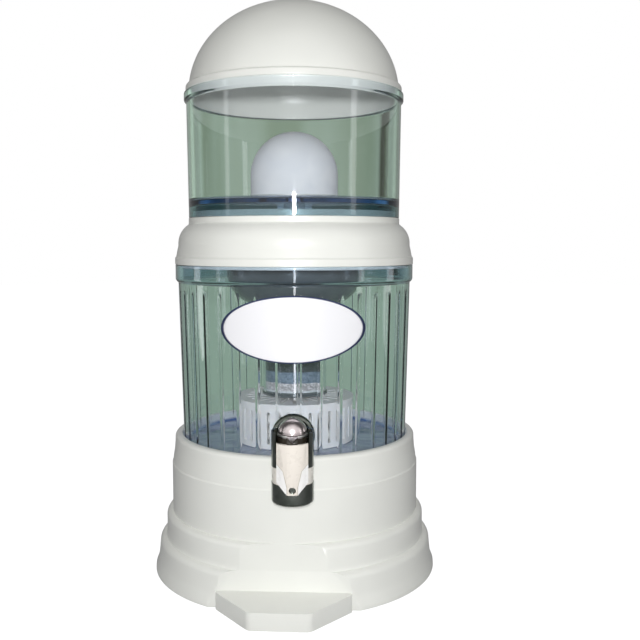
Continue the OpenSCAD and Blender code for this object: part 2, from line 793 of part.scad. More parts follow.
module collar() {
    base_r = band_r + 0.3;
    wall_top_r = base_r - 3.4;
    lip_r = upper_r + 0.3;
    seat_in_r = upper_r - upper_wall - slip_gap;
    shoulder_x = wall_top_r - shoulder_r;
    lip_a = acos((lip_r - shoulder_x) / shoulder_r);
    shoulder_z = collar_deck_z - shoulder_r * sin(lip_a);
    in_r = shoulder_r - collar_wall;
    under_z = collar_deck_z - collar_wall;
    under_a = asin((under_z - shoulder_z) / in_r);
    spigot_r = band_r - tank_wall - slip_gap;
    color(ivory) turned(concat(
        [[spigot_r - collar_wall, tank_top_z - spigot_h], [spigot_r, tank_top_z - spigot_h]],
        [[spigot_r, tank_top_z], [base_r, tank_top_z], [base_r, tank_top_z + 6]],
        [[base_r - 1.2, tank_top_z + 8], [base_r - 2.4, tank_top_z + 15]],
        arc(shoulder_x, shoulder_z, shoulder_r, 0, lip_a),
        [[lip_r, upper_z], [seat_in_r, upper_z], [seat_in_r, upper_z + 6]],
        [[seat_in_r - 3, upper_z + 6], [seat_in_r - 3, collar_deck_z]],
        [[opening_r, collar_deck_z], [opening_r, under_z - 11], [opening_r + 3, under_z - 11]],
        [[opening_r + 3, under_z]],
        arc(shoulder_x, shoulder_z, in_r, under_a, 0),
        [[base_r - 2.4 - collar_wall, tank_top_z + 15]],
        [[base_r - 1.2 - collar_wall, tank_top_z + 3], [spigot_r - collar_wall, tank_top_z + 3]]
    ));
}

// ----------------------------------------------------------- upper tank

module upper_tank() {
    top_r = upper_r + upper_draft;
    under_flange_z = upper_top_z - flange_h;
    in_low = upper_r - upper_wall;
    in_high = top_r - upper_wall;
    color(clear_blue) difference() {
        turned([
            [0, upper_floor_under], [in_low, upper_floor_under], [in_low, upper_z],
            [upper_r, upper_z], [top_r, under_flange_z - flange_step],
            [top_r + flange_step, under_flange_z], [top_r + flange_step, upper_top_z],
            [in_high, upper_top_z], [in_high, under_flange_z],
            [in_low, upper_floor_z + 2], [in_low - 2, upper_floor_z], [0, upper_floor_z]
        ]);
        translate([0, 0, upper_z]) cylinder(r = stud_r + slip_gap / 2, h = upper_h);
    }
}

// --------------------------------------------------------- ceramic dome

module ceramic_dome() {
    cyl_h = dome_h - dome_r;
    in_r = dome_r - dome_wall;
    color([0.9, 0.91, 0.93]) translate([0, 0, dome_z]) difference() {
        union() {
            cylinder(r = dome_r, h = cyl_h);
            translate([0, 0, cyl_h]) sphere(dome_r);
        }
        translate([0, 0, -cut]) cylinder(r = in_r, h = cyl_h + cut);
        translate([0, 0, cyl_h]) sphere(in_r);
        translate([0, 0, -2 * dome_r]) cylinder(r = 2 * dome_r, h = 2 * dome_r);
    }
}

module dome_base() {
    plug_r = dome_r - dome_wall - 3;
    color("white") difference() {
        union() {
            translate([0, 0, dome_base_z]) cylinder(r = dome_r + 0.8, h = dome_base_t);
            translate([0, 0, dome_z]) ring(plug_r + 2.5, plug_r, 4);
            translate([0, 0, dome_base_z - stud_l]) cylinder(r = stud_r, h = stud_l + cut);
        }
        translate([0, 0, dome_base_z - stud_l - cut])
            cylinder(r = stud_r / 2, h = stud_l + dome_base_t + 2 * cut);
    }
}

module dome_washer() {
    color(silicone) translate([0, 0, dome_washer_z])
        ring(3 * stud_r, stud_r + run_gap, dome_washer_t);
}

module wing_nut() {
    wing_t = 3.4;
    nut_z = upper_floor_under - wing_nut_h;
    color("white") translate([0, 0, nut_z]) difference() {
        union() {
            cylinder(r = wing_hub_r, h = wing_nut_h);
            intersection() {
                translate([-wing_span / 2, -wing_t / 2, 0]) cube([wing_span, wing_t, wing_nut_h]);
                cylinder(r1 = wing_span / 2, r2 = wing_span / 2 - 5, h = wing_nut_h);
            }
        }
        translate([0, 0, -cut]) cylinder(r = stud_r + thread_gap, h = wing_nut_h + 2 * cut);
    }
}

// ------------------------------------------------------------ cartridge

// The bowl's bottom edge, from the wall down to where the socket starts
function bowl_edge(w) =
    let (x = bowl_r - bowl_bend, r = bowl_bend - w, a = acos((socket_out_r - x) / r))
    arc(x, bowl_z + bowl_bend, r, 0, -a, bowl_n);

module cartridge_bowl() {
    outer = bowl_edge(0);
    socket_r = tube_r + thread_gap;
    color(dark_plastic) turned(concat(
        [[socket_out_r, bowl_z - socket_l]],
        [for (i = [bowl_n:-1:0]) outer[i]],
        [[bowl_r, cap_z], [bowl_r - bowl_wall, cap_z]],
        bowl_edge(bowl_wall),
        [[tube_r - 2 * tube_wall, bowl_z + 1.2 * bowl_wall], [tube_r - 2 * tube_wall, bowl_z]],
        [[socket_r, bowl_z], [socket_r, bowl_z - socket_l]]
    ));
}

// The cap that closes the bowl and screws onto the dome's stud
module cartridge_cap() {
    neck_top = upper_floor_under - wing_nut_h - 2;
    stud_z = dome_base_z - stud_l;
    color(dark_plastic) difference() {
        union() {
            translate([0, 0, cap_z]) cylinder(r = bowl_r + 0.6, h = bowl_wall);
            translate([0, 0, cap_z - 4]) ring(bowl_r - bowl_wall - 1, bowl_r - 2 * bowl_wall - 1, 5);
            translate([0, 0, cap_z]) cylinder(r = stud_r + 4.5, h = neck_top - cap_z);
            for (i = [0:7]) rotate([0, 0, i * 45])
                translate([stud_r + bowl_wall, -bowl_wall / 2, cap_z])
                    cube([bowl_r / 2 - stud_r, bowl_wall, 3 * bowl_wall]);
        }
        translate([0, 0, cap_z - cut]) cylinder(r = stud_r / 2, h = neck_top);
        translate([0, 0, stud_z - 0.5]) cylinder(r = stud_r + thread_gap, h = neck_top);
    }
}

module cartridge_tube() {
    color(clear_blue) translate([0, 0, tube_z])
        ring(tube_r, tube_r - tube_wall, bowl_z - tube_z - run_gap);
}

module media(z, h) {
    translate([0, 0, z]) cylinder(r = media_r, h = h);
}

module carbon() {
    color([0.12, 0.12, 0.14]) media(carbon_z, carbon_top_z - carbon_z);
}

module mineral_sand() {
    color([0.4, 0.45, 0.5]) media(sand_z, sand_h);
}

module silica_sand() {
    color([0.8, 0.78, 0.78]) media(silica_z, silica_h);
}

module felt_pads() {
    color("white") {
        media(media_z, pad_t);
        media(carbon_top_z, pad_t);
    }
}

module cartridge_foot() {
    color(dark_plastic) translate([0, 0, foot_z]) difference() {
        union() {
            cylinder(r = tube_r + tube_wall / 2, h = foot_plate_t);
            cylinder(r = media_r, h = foot_cap_h);
        }
        for (i = [0:foot_slots - 1]) rotate([0, 0, i * 360 / foot_slots])
            translate([tube_r / 4, -slot_w / 2, -cut])
                cube([tube_r / 2, slot_w, foot_cap_h + 2 * cut]);
    }
}

// ------------------------------------------------------- mineral basket

module mineral_basket() {
    sill = 5;
    color([0.86, 0.88, 0.9, 0.8]) translate([0, 0, basket_z]) {
        cylinder(r = basket_r - basket_wall / 2, h = basket_wall);
        difference() {
            ring(basket_r, basket_r - basket_wall, basket_h);
            for (i = [0:basket_slots - 1]) rotate([0, 0, (i + 0.5) * 360 / basket_slots])
                translate([basket_r - basket_wall - cut, -slot_w / 2, sill])
                    cube([basket_wall + 2 * cut, slot_w, basket_h - 2 * sill]);
        }
    }
}

module basket_lid() {
    color([0.86, 0.88, 0.9, 0.8]) translate([0, 0, basket_lid_z]) difference() {
        union() {
            cylinder(r = basket_r + 0.6, h = basket_lid_t);
            translate([0, 0, -3]) ring(basket_r - basket_wall - slip_gap,
                basket_r - 2 * basket_wall - slip_gap, 4);
        }
        for (i = [0:23]) rotate([0, 0, i * 15])
            translate([basket_r / 3, -slot_w / 2, -cut])
                cube([basket_r / 2, slot_w, basket_lid_t + 2 * cut]);
    }
}

// Stones in rings, each layer set over the gaps of the one below
module mineral_stones() {
    pitch = 2 * stone_r + 0.4;
    rows = floor((basket_r - basket_wall - stone_r - 0.4) / pitch);
    color([0.75, 0.72, 0.68]) for (layer = [0:stone_layers - 1])
        for (row = [1:rows]) {
            r = row * pitch - layer * pitch / 2;
            n = floor(2 * PI * r / pitch);
            for (i = [0:n - 1]) rotate([0, 0, (i + layer / 2) * 360 / n])
                translate([r, 0, basket_z + basket_wall + stone_r + layer * pitch])
                    sphere(stone_r);
        }
}

// ------------------------------------------------------------------ lid

module lid() {
    lip_r = upper_r + upper_draft + 0.4;
    dome_rx = lip_r - lid_lip_step;
    spigot_r = upper_r + upper_draft - upper_wall - slip_gap;
    lip_z = upper_top_z + lid_lip_h;
    in_x = dome_rx - lid_wall;
    in_y = lid_h - lid_wall;
    start = asin(lid_lip_h / lid_h);
    edge = 2;
    color(ivory) turned(concat(
        [[spigot_r - 2.4, upper_top_z - lid_spigot_h], [spigot_r, upper_top_z - lid_spigot_h]],
        [[spigot_r, upper_top_z]],
        arc(lip_r - edge, upper_top_z + edge, edge, -90, 0, 4),
        arc(lip_r - edge, lip_z - edge, edge, 0, 90, 4),
        oval_arc(upper_top_z, dome_rx, lid_h, start, 90, 28),
        oval_arc(upper_top_z, in_x, in_y, 90, start, 28),
        [[spigot_r - 2.4, upper_top_z + lid_lip_h - 2]]
    ));
}

stand();
lower_tank();
badge();
tap_outer_washer();
tap_inner_washer();
tap_nut();
tap_flange();
tap_body();
tap_cover_lower();
tap_cover_upper();
tap_bonnet();
stem_seal();
valve_stem();
valve_seal();
valve_spring();
lever_head();
lever_paddle();
lever_pin();
collar();
upper_tank();
ceramic_dome();
dome_base();
dome_washer();
wing_nut();
cartridge_cap();
cartridge_bowl();
cartridge_tube();
carbon();
mineral_sand();
silica_sand();
felt_pads();
cartridge_foot();
mineral_basket();
basket_lid();
mineral_stones();
lid();
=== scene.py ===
"""A countertop gravity water filter with a lever tap, dressed piece by piece."""

import math
import random

import bmesh
import bpy
from mathutils import Matrix, Vector


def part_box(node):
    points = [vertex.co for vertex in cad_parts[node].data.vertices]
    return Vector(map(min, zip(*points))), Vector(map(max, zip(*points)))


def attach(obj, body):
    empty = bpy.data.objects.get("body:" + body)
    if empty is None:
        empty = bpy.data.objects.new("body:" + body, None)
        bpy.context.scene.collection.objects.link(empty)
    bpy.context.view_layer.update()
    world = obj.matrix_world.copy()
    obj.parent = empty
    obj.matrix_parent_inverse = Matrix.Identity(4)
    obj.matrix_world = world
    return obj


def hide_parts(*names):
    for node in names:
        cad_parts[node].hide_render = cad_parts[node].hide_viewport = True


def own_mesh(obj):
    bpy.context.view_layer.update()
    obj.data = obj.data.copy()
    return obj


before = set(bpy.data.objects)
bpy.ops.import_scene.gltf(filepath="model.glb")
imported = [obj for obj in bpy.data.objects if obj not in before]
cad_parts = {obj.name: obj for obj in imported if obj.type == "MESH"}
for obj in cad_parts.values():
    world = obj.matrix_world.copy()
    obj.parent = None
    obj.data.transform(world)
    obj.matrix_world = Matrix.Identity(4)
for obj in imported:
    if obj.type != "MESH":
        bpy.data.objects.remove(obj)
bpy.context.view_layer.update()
mm = 0.001

# ---------------------------------------------------------------- camera
# The camera stands in front of the tap, a little to its right and at the
# height of the upper tank's floor, and looks slightly down. It is turned so
# that the vessel's axis falls left of the frame's middle.
picture_px = 640
focal_px = 828
axis_px = 294.6
camera_azimuth = 0.8
camera_distance = 838.5 * mm
camera_height = 326.4 * mm
camera_pitch = 5.33
yaw = math.degrees(math.atan((picture_px / 2 - axis_px) / focal_px))
azimuth = math.radians(camera_azimuth)
camera_data = bpy.data.cameras.new("camera")
camera_data.sensor_width = 36
camera_data.lens = focal_px / picture_px * camera_data.sensor_width
camera_data.clip_start = 0.02
camera = bpy.data.objects.new("camera", camera_data)
bpy.context.collection.objects.link(camera)
camera.location = (
    camera_distance * math.sin(azimuth),
    -camera_distance * math.cos(azimuth),
    camera_height,
)
camera.rotation_euler = (
    math.radians(90 - camera_pitch),
    0,
    math.radians(camera_azimuth - yaw),
)
bpy.context.scene.camera = camera
bpy.context.scene.view_settings.view_transform = "Standard"


# ------------------------------------------------------- floor and light
# A pale round floor under a pale, even studio sky. What shows straight
# through the clear tanks is the grey-green of a room wall instead, as a
# clear pot shows the room that it stands in.
def linear(hex_code):
    """A colour given as sRGB hex, as the linear values that shaders take."""
    channels = [int(hex_code[i : i + 2], 16) / 255 for i in (1, 3, 5)]
    return [c / 12.92 if c <= 0.04045 else ((c + 0.055) / 1.055) ** 2.4 for c in channels] + [1.0]


def add_node(tree, kind, inputs=None, stops=(), **settings):
    """Adds a shader node, sets its properties, and sets or links its inputs.

    stops are a colour ramp's pairs of a place and a colour, where the colour
    is a hex code or a grey level.
    """
    made = tree.nodes.new("ShaderNode" + kind)
    for name, value in settings.items():
        setattr(made, name, value)
    for key, value in (inputs or {}).items():
        if isinstance(value, bpy.types.NodeSocket):
            tree.links.new(value, made.inputs[key])
        else:
            made.inputs[key].default_value = value
    if stops:
        elements = made.color_ramp.elements
        while len(elements) < len(stops):
            elements.new(0.5)
        for element, (position, colour) in zip(elements, stops):
            element.position = position
            element.color = linear(colour) if isinstance(colour, str) else [colour] * 3 + [1.0]
    return made


def seen_through(tree):
    """1 on a ray that has only passed through clear plastic, 0 on any other ray."""
    path = add_node(tree, "LightPath")
    passed = add_node(
        tree, "Math", {0: path.outputs["Transmission Depth"], 1: 0.5}, operation="GREATER_THAN"
    )
    direct = add_node(
        tree, "Math", {0: path.outputs["Diffuse Depth"], 1: 0.5}, operation="LESS_THAN"
    )
    return add_node(
        tree, "Math", {0: passed.outputs[0], 1: direct.outputs[0]}, operation="MULTIPLY"
    ).outputs[0]


world = bpy.data.worlds.new("studio_sky")
bpy.context.scene.world = world
world.use_nodes = True
sky = world.node_tree
sky.nodes.clear()
direction = add_node(sky, "TexCoord").outputs["Generated"]
aside, ahead, height = add_node(sky, "SeparateXYZ", {"Vector": direction}).outputs

# The studio: a white sky that grows brighter upwards, and a plain backdrop
# that only the camera sees. What glossy pieces mirror of it is bright on the
# camera's side and dark beside and behind them.
studio_white = linear("#ffffff")
low_sky = 0.13
high_sky = 0.5
sky_strength = add_node(
    sky,
    "MapRange",
    {"Value": height, "From Min": 0.0, "From Max": 0.9, "To Min": low_sky, "To Max": high_sky},
)
sky_light = add_node(
    sky, "Background", {"Color": studio_white, "Strength": sky_strength.outputs["Result"]}
)
sky_backdrop = add_node(sky, "Background", {"Color": studio_white, "Strength": 1.0})
sky_plain = add_node(
    sky,
    "MixShader",
    {
        0: add_node(sky, "LightPath").outputs["Is Camera Ray"],
        1: sky_light.outputs[0],
        2: sky_backdrop.outputs[0],
    },
)
from_front = add_node(sky, "MapRange", {"Value": ahead, "From Min": -1, "From Max": 1})
mirrored = [(0, 1), (0.26, 0.95), (0.44, 0.12), (0.55, 0.05), (0.8, 0.2), (1, 0.3)]
mirror_level = add_node(sky, "ValToRGB", {"Fac": from_front.outputs["Result"]}, mirrored)
sky_mirrored = add_node(
    sky, "Background", {"Color": studio_white, "Strength": mirror_level.outputs["Color"]}
)
sky_unseen = add_node(
    sky,
    "MixShader",
    {
        0: add_node(sky, "LightPath").outputs["Is Glossy Ray"],
        1: sky_plain.outputs[0],
        2: sky_mirrored.outputs[0],
    },
)

# The room: a grey-green wall with soft upright folds and, right of the
# middle, a dark upright strip. It is brighter on the left, and brightest in
# a ring off the middle, which the bent edges of the clear walls show.
room_dark = "#83967f"
room_light = "#a3b6a6"
strip_colour = linear("#4f5347")
fold_stretch = (9, 9, 0.6)
stretched = add_node(sky, "Mapping", {"Vector": direction, "Scale": fold_stretch})
folds = add_node(sky, "TexNoise", {"Vector": stretched.outputs[0], "Scale": 1.0, "Detail": 3.0})
wall_tone = add_node(
    sky, "ValToRGB", {"Fac": folds.outputs["Fac"]}, [(0.38, room_dark), (0.6, room_light)]
)
across_strip = add_node(sky, "MapRange", {"Value": aside, "From Min": 0.112, "From Max": 0.19})
strip = [(0, 0), (0.2, 0), (0.35, 1), (0.75, 1), (0.95, 0), (1, 0)]
strip_share = add_node(sky, "ValToRGB", {"Fac": across_strip.outputs["Result"]}, strip)
room_colour = add_node(
    sky,
    "Mix",
    {0: strip_share.outputs["Color"], 6: wall_tone.outputs["Color"], 7: strip_colour},
    data_type="RGBA",
)
window = [(0, 0.05), (0.64, 0.06), (0.71, 1), (0.78, 1), (0.85, 0.43), (1, 0.43)]
window_ahead = add_node(sky, "ValToRGB", {"Fac": ahead}, window)
window_aside = add_node(
    sky,
    "MapRange",
    {"Value": aside, "From Min": -0.6, "From Max": 0.6, "To Min": 2.9, "To Max": 1.7},
)
room_strength = add_node(
    sky,
    "Math",
    {0: window_ahead.outputs["Color"], 1: window_aside.outputs["Result"]},
    operation="MULTIPLY",
)
sky_room = add_node(
    sky,
    "Background",
    {"Color": room_colour.outputs[2], "Strength": room_strength.outputs[0]},
)
sky_mix = add_node(
    sky, "MixShader", {0: seen_through(sky), 1: sky_unseen.outputs[0], 2: sky_room.outputs[0]}
)
add_node(sky, "OutputWorld", {"Surface": sky_mix.outputs[0]})

floor_radius = 6.0
floor_mesh = bpy.data.meshes.new("floor")
floor_bm = bmesh.new()
bmesh.ops.create_circle(floor_bm, cap_ends=True, radius=floor_radius, segments=96)
floor_bm.to_mesh(floor_mesh)
floor_bm.free()
floor = bpy.data.objects.new("floor", floor_mesh)
bpy.context.collection.objects.link(floor)
floor_paint = bpy.data.materials.new("pale_floor")
floor_paint.use_nodes = True
floor_tree = floor_paint.node_tree
floor_tree.nodes.clear()
floor_matt = add_node(floor_tree, "BsdfDiffuse", {"Color": linear("#bcbcbe")})
floor_glow = add_node(
    floor_tree,
    "Emission",
    {
        "Color": linear("#ebebeb"),
        "Strength": add_node(floor_tree, "LightPath").outputs["Is Camera Ray"],
    },
)
floor_pale = add_node(
    floor_tree, "AddShader", {0: floor_matt.outputs[0], 1: floor_glow.outputs[0]}
)
floor_room = add_node(floor_tree, "Emission", {"Color": linear("#8fa692"), "Strength": 1.0})
floor_mix = add_node(
    floor_tree,
    "MixShader",
    {0: seen_through(floor_tree), 1: floor_pale.outputs[0], 2: floor_room.outputs[0]},
)
add_node(floor_tree, "OutputMaterial", {"Surface": floor_mix.outputs[0]})
floor_mesh.materials.append(floor_paint)


def soft_light(name, place, target, size, watts, lights_diffuse=False, shape="RECTANGLE"):
    """A soft box of that width and height, at place, that faces target."""
    data = bpy.data.lights.new(name, "AREA")
    data.shape = shape
    data.size, data.size_y = size
    data.energy = watts
    lamp = bpy.data.objects.new(name, data)
    bpy.context.collection.objects.link(lamp)
    lamp.location = place
    lamp.rotation_euler = (Vector(target) - Vector(place)).to_track_quat("-Z", "Y").to_euler()
    lamp.visible_diffuse = lights_diffuse


# A small flash by the camera lights the front. Tall strips in front and at
# both sides only show as reflections in what is glossy, and two near ones
# give the lower tank its soft upright highlights.
middle = (0, 0, 0.3)
near_z = 0.235
near_middle = (0, 0, near_z)
soft_light("flash", (0.01, -0.95, 0.376), middle, (0.045, 0.05), 5.4, lights_diffuse=True)
soft_light("front_strip", (0.0, -0.95, 0.18), (0, 0, 0.18), (0.035, 0.36), 0.3)
soft_light("left_strip", (-1.5, -0.5, 0.5), middle, (0.14, 1.3), 0.7)
soft_light("right_strip", (1.4, -0.7, 0.5), middle, (0.18, 1.3), 1.3)
soft_light(
    "near_left_strip", (-0.62, 0.05, near_z), near_middle, (0.1, 0.22), 0.1, shape="ELLIPSE"
)
soft_light(
    "near_right_strip", (0.62, 0.05, near_z), near_middle, (0.12, 0.22), 0.1, shape="ELLIPSE"
)

# ----------------------------------------------------------------- stand
# One moulding in ivory ABS, about 3 mm thick and open underneath: two
# rounded tiers, a straight wall, a rim, and a deck that the lower tank
# stands on. A flat panel is cut across the tiers and carries the ledge.
stand_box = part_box("stand")
stand_h = stand_box[1].z / mm
stand_wall = 3.0
foot_r = stand_box[1].x / mm
foot_flare = 4.8
foot_h = 10.5
foot_curve = [(1.9, 0), (1.2, 5), (0.6, 10)]  # reach past the low tier, rise over the foot
low_r = foot_r - foot_flare
low_tier_h = 34.5
low_step = 7.0
mid_r = low_r - low_step
mid_tier_h = 60.0
mid_step = 6.0
main_r = mid_r - mid_step
step_low_z = 107.6
step_high_z = 109.2
rim_step = 3.0
rim_r = main_r - rim_step
rim_lean = [(1.6, 114), (0.4, 121), (-0.2, 128)]  # reach past the rim, height
rim_crown_r = rim_r - 4.6
rim_crown_w = 4.2
rim_crown_h = 4
rim_w = 7.8
recess_r = rim_r - rim_w
recess_depth = 13.2
deck_z = stand_h - recess_depth
deck_hole_r = 60.0
stand_turn = -4.0
stand_edge_r = 1.1
ledge_reach = 168.5
ledge_front_w = 53.0
ledge_back_w = 122.0
ledge_corner_r = 9
ledge_bend_r = 2
ledge_t = 16.0
ledge_overlap = 2
spin_steps = 180


def new_material(name, colour=None, gloss=None, skin=None, **values):
    """A material whose finish varies over real sizes, given in millimetres.

    colour is (size, detail, hex, hex) of its clouds, gloss is (size, detail,
    least, most) of its roughness, and skin is (size, detail, height, strength)
    of its bumps. A function of the node tree and the piece's coordinates may
    stand in for any of them. The other values go to the shader's own sockets.
    """
    made = bpy.data.materials.new(name)
    made.use_nodes = True
    tree = made.node_tree
    tree.nodes.clear()
    shader = add_node(tree, "BsdfPrincipled", {k.replace("_", " "): v for k, v in values.items()})
    add_node(tree, "OutputMaterial", {"Surface": shader.outputs[0]})
    place = add_node(tree, "TexCoord").outputs["Object"]
    for socket, look in (("Base Color", colour), ("Roughness", gloss), ("Normal", skin)):
        if look is None:
            continue
        if callable(look):
            tree.links.new(look(tree, place), shader.inputs[socket])
            continue
        size, detail, first, second = look
        blotches = {"Vector": place, "Scale": 1 / (size * mm), "Detail": detail}
        noise = add_node(tree, "TexNoise", blotches).outputs["Fac"]
        if socket == "Base Color":
            varied = add_node(tree, "ValToRGB", {"Fac": noise}, [(0.35, first), (0.65, second)])
        elif socket == "Roughness":
            reach = {"From Min": 0.3, "From Max": 0.7, "To Min": first, "To Max": second}
            varied = add_node(tree, "MapRange", {"Value": noise, **reach})
        else:
            bumps = {"Height": noise, "Distance": first * mm, "Strength": second}
            varied = add_node(tree, "Bump", bumps)
        tree.links.new(varied.outputs[0], shader.inputs[socket])
    return made


# Moulded ABS, semi-gloss: a soft sheen, with faint clouding where the melt
# flowed.
ivory_abs = new_material(
    "moulded_ivory_abs",
    colour=(60, 2, "#edeee8", "#f0f1eb"),
    gloss=(40, 2, 0.285, 0.32),
    IOR=1.53,
)


def fillet(corners, closed=False, steps=5):
    """The outline through corners (r, z, radius), each rounded by its radius.

    A point just off each end of a rounding keeps the flats beside it flat.
    """
    outline = []
    count = len(corners)
    for i, (r, z, radius) in enumerate(corners):
        at_end = not closed and i in (0, count - 1)
        here = Vector((r, z))
        if at_end or radius <= 0:
            outline.append(here)
            continue
        before = Vector(corners[i - 1][:2]) - here
        after = Vector(corners[(i + 1) % count][:2]) - here
        half = before.angle(after) / 2
        reach = min(radius / math.tan(half), 0.49 * before.length, 0.49 * after.length)
        true_radius = reach * math.tan(half)
        middle_way = (before.normalized() + after.normalized()).normalized()
        centre = here + middle_way * true_radius / math.sin(half)
        start = here + before.normalized() * reach - centre
        sweep = (here + after.normalized() * reach - centre).angle_signed(start)
        hold = min(0.5, 0.3 * reach + 0.05)
        if before.length > 2 * (reach + hold):
            outline.append(here + before.normalized() * (reach + hold))
        for k in range(steps + 1):
            outline.append(centre + Matrix.Rotation(sweep * k / steps, 2) @ start)
        if after.length > 2 * (reach + hold):
            outline.append(here + after.normalized() * (reach + hold))
    return outline


def arc(cx, cz, radius_x, radius_z, first, last, steps):
    """Points on an upright ellipse, from one angle in degrees to another."""
    angles = [math.radians(first + (last - first) * k / steps) for k in range(steps + 1)]
    return [Vector((cx + radius_x * math.cos(a), cz + radius_z * math.sin(a))) for a in angles]


def turned(outline, closed=False, steps=spin_steps):
    """A bmesh spun about the vessel's axis from an outline in millimetres."""
    bm = bmesh.new()
    verts = [bm.verts.new((p[0] * mm, 0, p[1] * mm)) for p in outline]
    pairs = list(zip(verts, verts[1:]))
    if closed:
        pairs.append((verts[-1], verts[0]))
    edges = [bm.edges.new(pair) for pair in pairs]
    bmesh.ops.spin(
        bm,
        geom=verts + edges,
        cent=(0, 0, 0),
        axis=(0, 0, 1),
        dvec=(0, 0, 0),
        angle=2 * math.pi,
        steps=steps,
        use_merge=True,
        use_duplicate=False,
    )
    bmesh.ops.remove_doubles(bm, verts=bm.verts, dist=0.001 * mm)
    bmesh.ops.dissolve_degenerate(bm, edges=bm.edges, dist=0.0005 * mm)
    bmesh.ops.recalc_face_normals(bm, faces=bm.faces)
    return bm


def make_piece(name, bm, materials, body, replaced, sharp=35):
    """Turns a bmesh into a finished piece that rides on a body and replaces a node."""
    mesh = bpy.data.meshes.new(name)
    bm.normal_update()
    for face in bm.faces:
        face.smooth = True
    bm.to_mesh(mesh)
    bm.free()
    mesh.set_sharp_from_angle(angle=math.radians(sharp))
    for material in materials:
        mesh.materials.append(material)
    piece = bpy.data.objects.new(name, mesh)
    bpy.context.collection.objects.link(piece)
    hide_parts(replaced)
    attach(piece, body)
    return piece


def add_modifier(piece, kind, **settings):
    """Gives a piece a live modifier with its settings."""
    made = piece.modifiers.new(kind.lower(), kind)
    for name, value in settings.items():
        setattr(made, name, value)


stand_outline = (
    [Vector((foot_r, 0)), Vector((foot_r - 0.2, foot_h / 3))]
    + [Vector((low_r + out, foot_h + rise)) for out, rise in foot_curve]
    + arc(mid_r, low_tier_h - low_step, low_step, low_step, 0, 84, 9)
    + [Vector((mid_r + 0.1, low_tier_h + 1.4)), Vector((mid_r, low_tier_h + 4))]
    + [Vector((mid_r, mid_tier_h - 14))]
    + arc(main_r, mid_tier_h - mid_step, mid_step, mid_step, 0, 90, 9)
    + fillet(
        [
            (main_r, mid_tier_h, 0),
            (main_r - 0.1, step_low_z, 0.5),
            (main_r - 0.9, step_high_z, 0.5),
            (rim_r + rim_lean[0][0], rim_lean[0][1], 0),
        ]
    )
    + [Vector((rim_r + out, z)) for out, z in rim_lean[1:]]
    + arc(rim_crown_r, stand_h - rim_crown_h, rim_crown_w, rim_crown_h, 0, 90, 8)
    + fillet(
        [
            (rim_crown_r - 0.4, stand_h, 0),
            (recess_r, stand_h, 1.0),
            (recess_r, deck_z, 0.8),
            (deck_hole_r, deck_z, 0),
        ]
    )
)
shell = turned(stand_outline)
if sum(f.normal.dot(f.calc_center_median()) for f in shell.faces) < 0:
    bmesh.ops.reverse_faces(shell, faces=shell.faces)
panel_y = -main_r * mm
tier_faces = [f for f in shell.faces if max(v.co.z for v in f.verts) < (mid_tier_h + 0.05) * mm]
tier_edges = list({e for f in tier_faces for e in f.edges})
tier_verts = list({v for f in tier_faces for v in f.verts})
bmesh.ops.bisect_plane(
    shell,
    geom=tier_verts + tier_edges + tier_faces,
    dist=0.01 * mm,
    plane_co=(0, panel_y, 0),
    plane_no=(0, -1, 0),
    clear_outer=True,
)
panel_rim = [
    e
    for e in shell.edges
    if e.is_boundary and all(abs(v.co.y - panel_y) < 0.02 * mm for v in e.verts)
]
panel_corners = [v for e in panel_rim for v in e.verts if v.co.z < 0.01 * mm]
left_corner = min(panel_corners, key=lambda v: v.co.x)
right_corner = max(panel_corners, key=lambda v: v.co.x)
panel_rim.append(shell.edges.new((left_corner, right_corner)))
bmesh.ops.triangle_fill(shell, edges=panel_rim, use_beauty=True, normal=(0, -1, 0))
half_back = ledge_back_w / 2
half_front = ledge_front_w / 2
root_y = -main_r + ledge_overlap
back_y = -math.sqrt(foot_r**2 - half_back**2)
ledge_corners = [
    (-half_back, root_y, 0),
    (-half_back, back_y, ledge_bend_r),
    (-half_front, -ledge_reach, ledge_corner_r),
    (half_front, -ledge_reach, ledge_corner_r),
    (half_back, back_y, ledge_bend_r),
    (half_back, root_y, 0),
]
ledge_verts = [shell.verts.new((p[0] * mm, p[1] * mm, 0)) for p in fillet(ledge_corners)]
ledge_base = shell.faces.new(ledge_verts)
raised = bmesh.ops.extrude_face_region(shell, geom=[ledge_base])
raised_verts = [g for g in raised["geom"] if isinstance(g, bmesh.types.BMVert)]
bmesh.ops.translate(shell, verts=raised_verts, vec=(0, 0, ledge_t * mm))
bmesh.ops.delete(shell, geom=[ledge_base], context="FACES_ONLY")
turn = Matrix.Rotation(math.radians(stand_turn), 3, "Z")
bmesh.ops.rotate(shell, verts=shell.verts, cent=(0, 0, 0), matrix=turn)
stand = make_piece("stand_shell", shell, [ivory_abs], "stand_assembly", "stand")
add_modifier(stand, "SOLIDIFY", thickness=stand_wall * mm, offset=-1, use_even_offset=True)
add_modifier(
    stand,
    "BEVEL",
    width=stand_edge_r * mm,
    segments=3,
    limit_method="ANGLE",
    angle_limit=math.radians(38),
)

# ------------------------------------------------------------ lower tank
# Clear styrene with a blue tint, moulded 3 mm thick. Narrow grooves part the
# wall into flutes and fade out below a plain, thicker band at the mouth. The
# thick floor shows the plastic's own blue, with deep blue blotches over it that
# are painted glints.
tank_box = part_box("lower_tank")
seat_z = tank_box[0].z / mm
tank_top = tank_box[1].z / mm
tank_r = 112.2
tank_draft = 3.6
tank_wall = 3.0
tank_floor = seat_z + 4
floor_round = 5
band_h = 15
band_step = 2.7
band_z = tank_top - band_h
band_r = tank_box[1].x / mm
wall_top = band_z - band_step
flute_count = 38
flute_depth = 1.1
flute_turn = -2.0
flute_low = 140
wall_rings = (180, 220, 255, 268)
flute_top = wall_top - 7.2
flute_fade = 4
fade_z = 270
fade_rise = 1.25
fade_rings = 12


def tank_radius(z):
    """The wall's outer radius at a height. It widens a little upwards."""
    return tank_r + tank_draft * (z - seat_z) / (wall_top - seat_z)


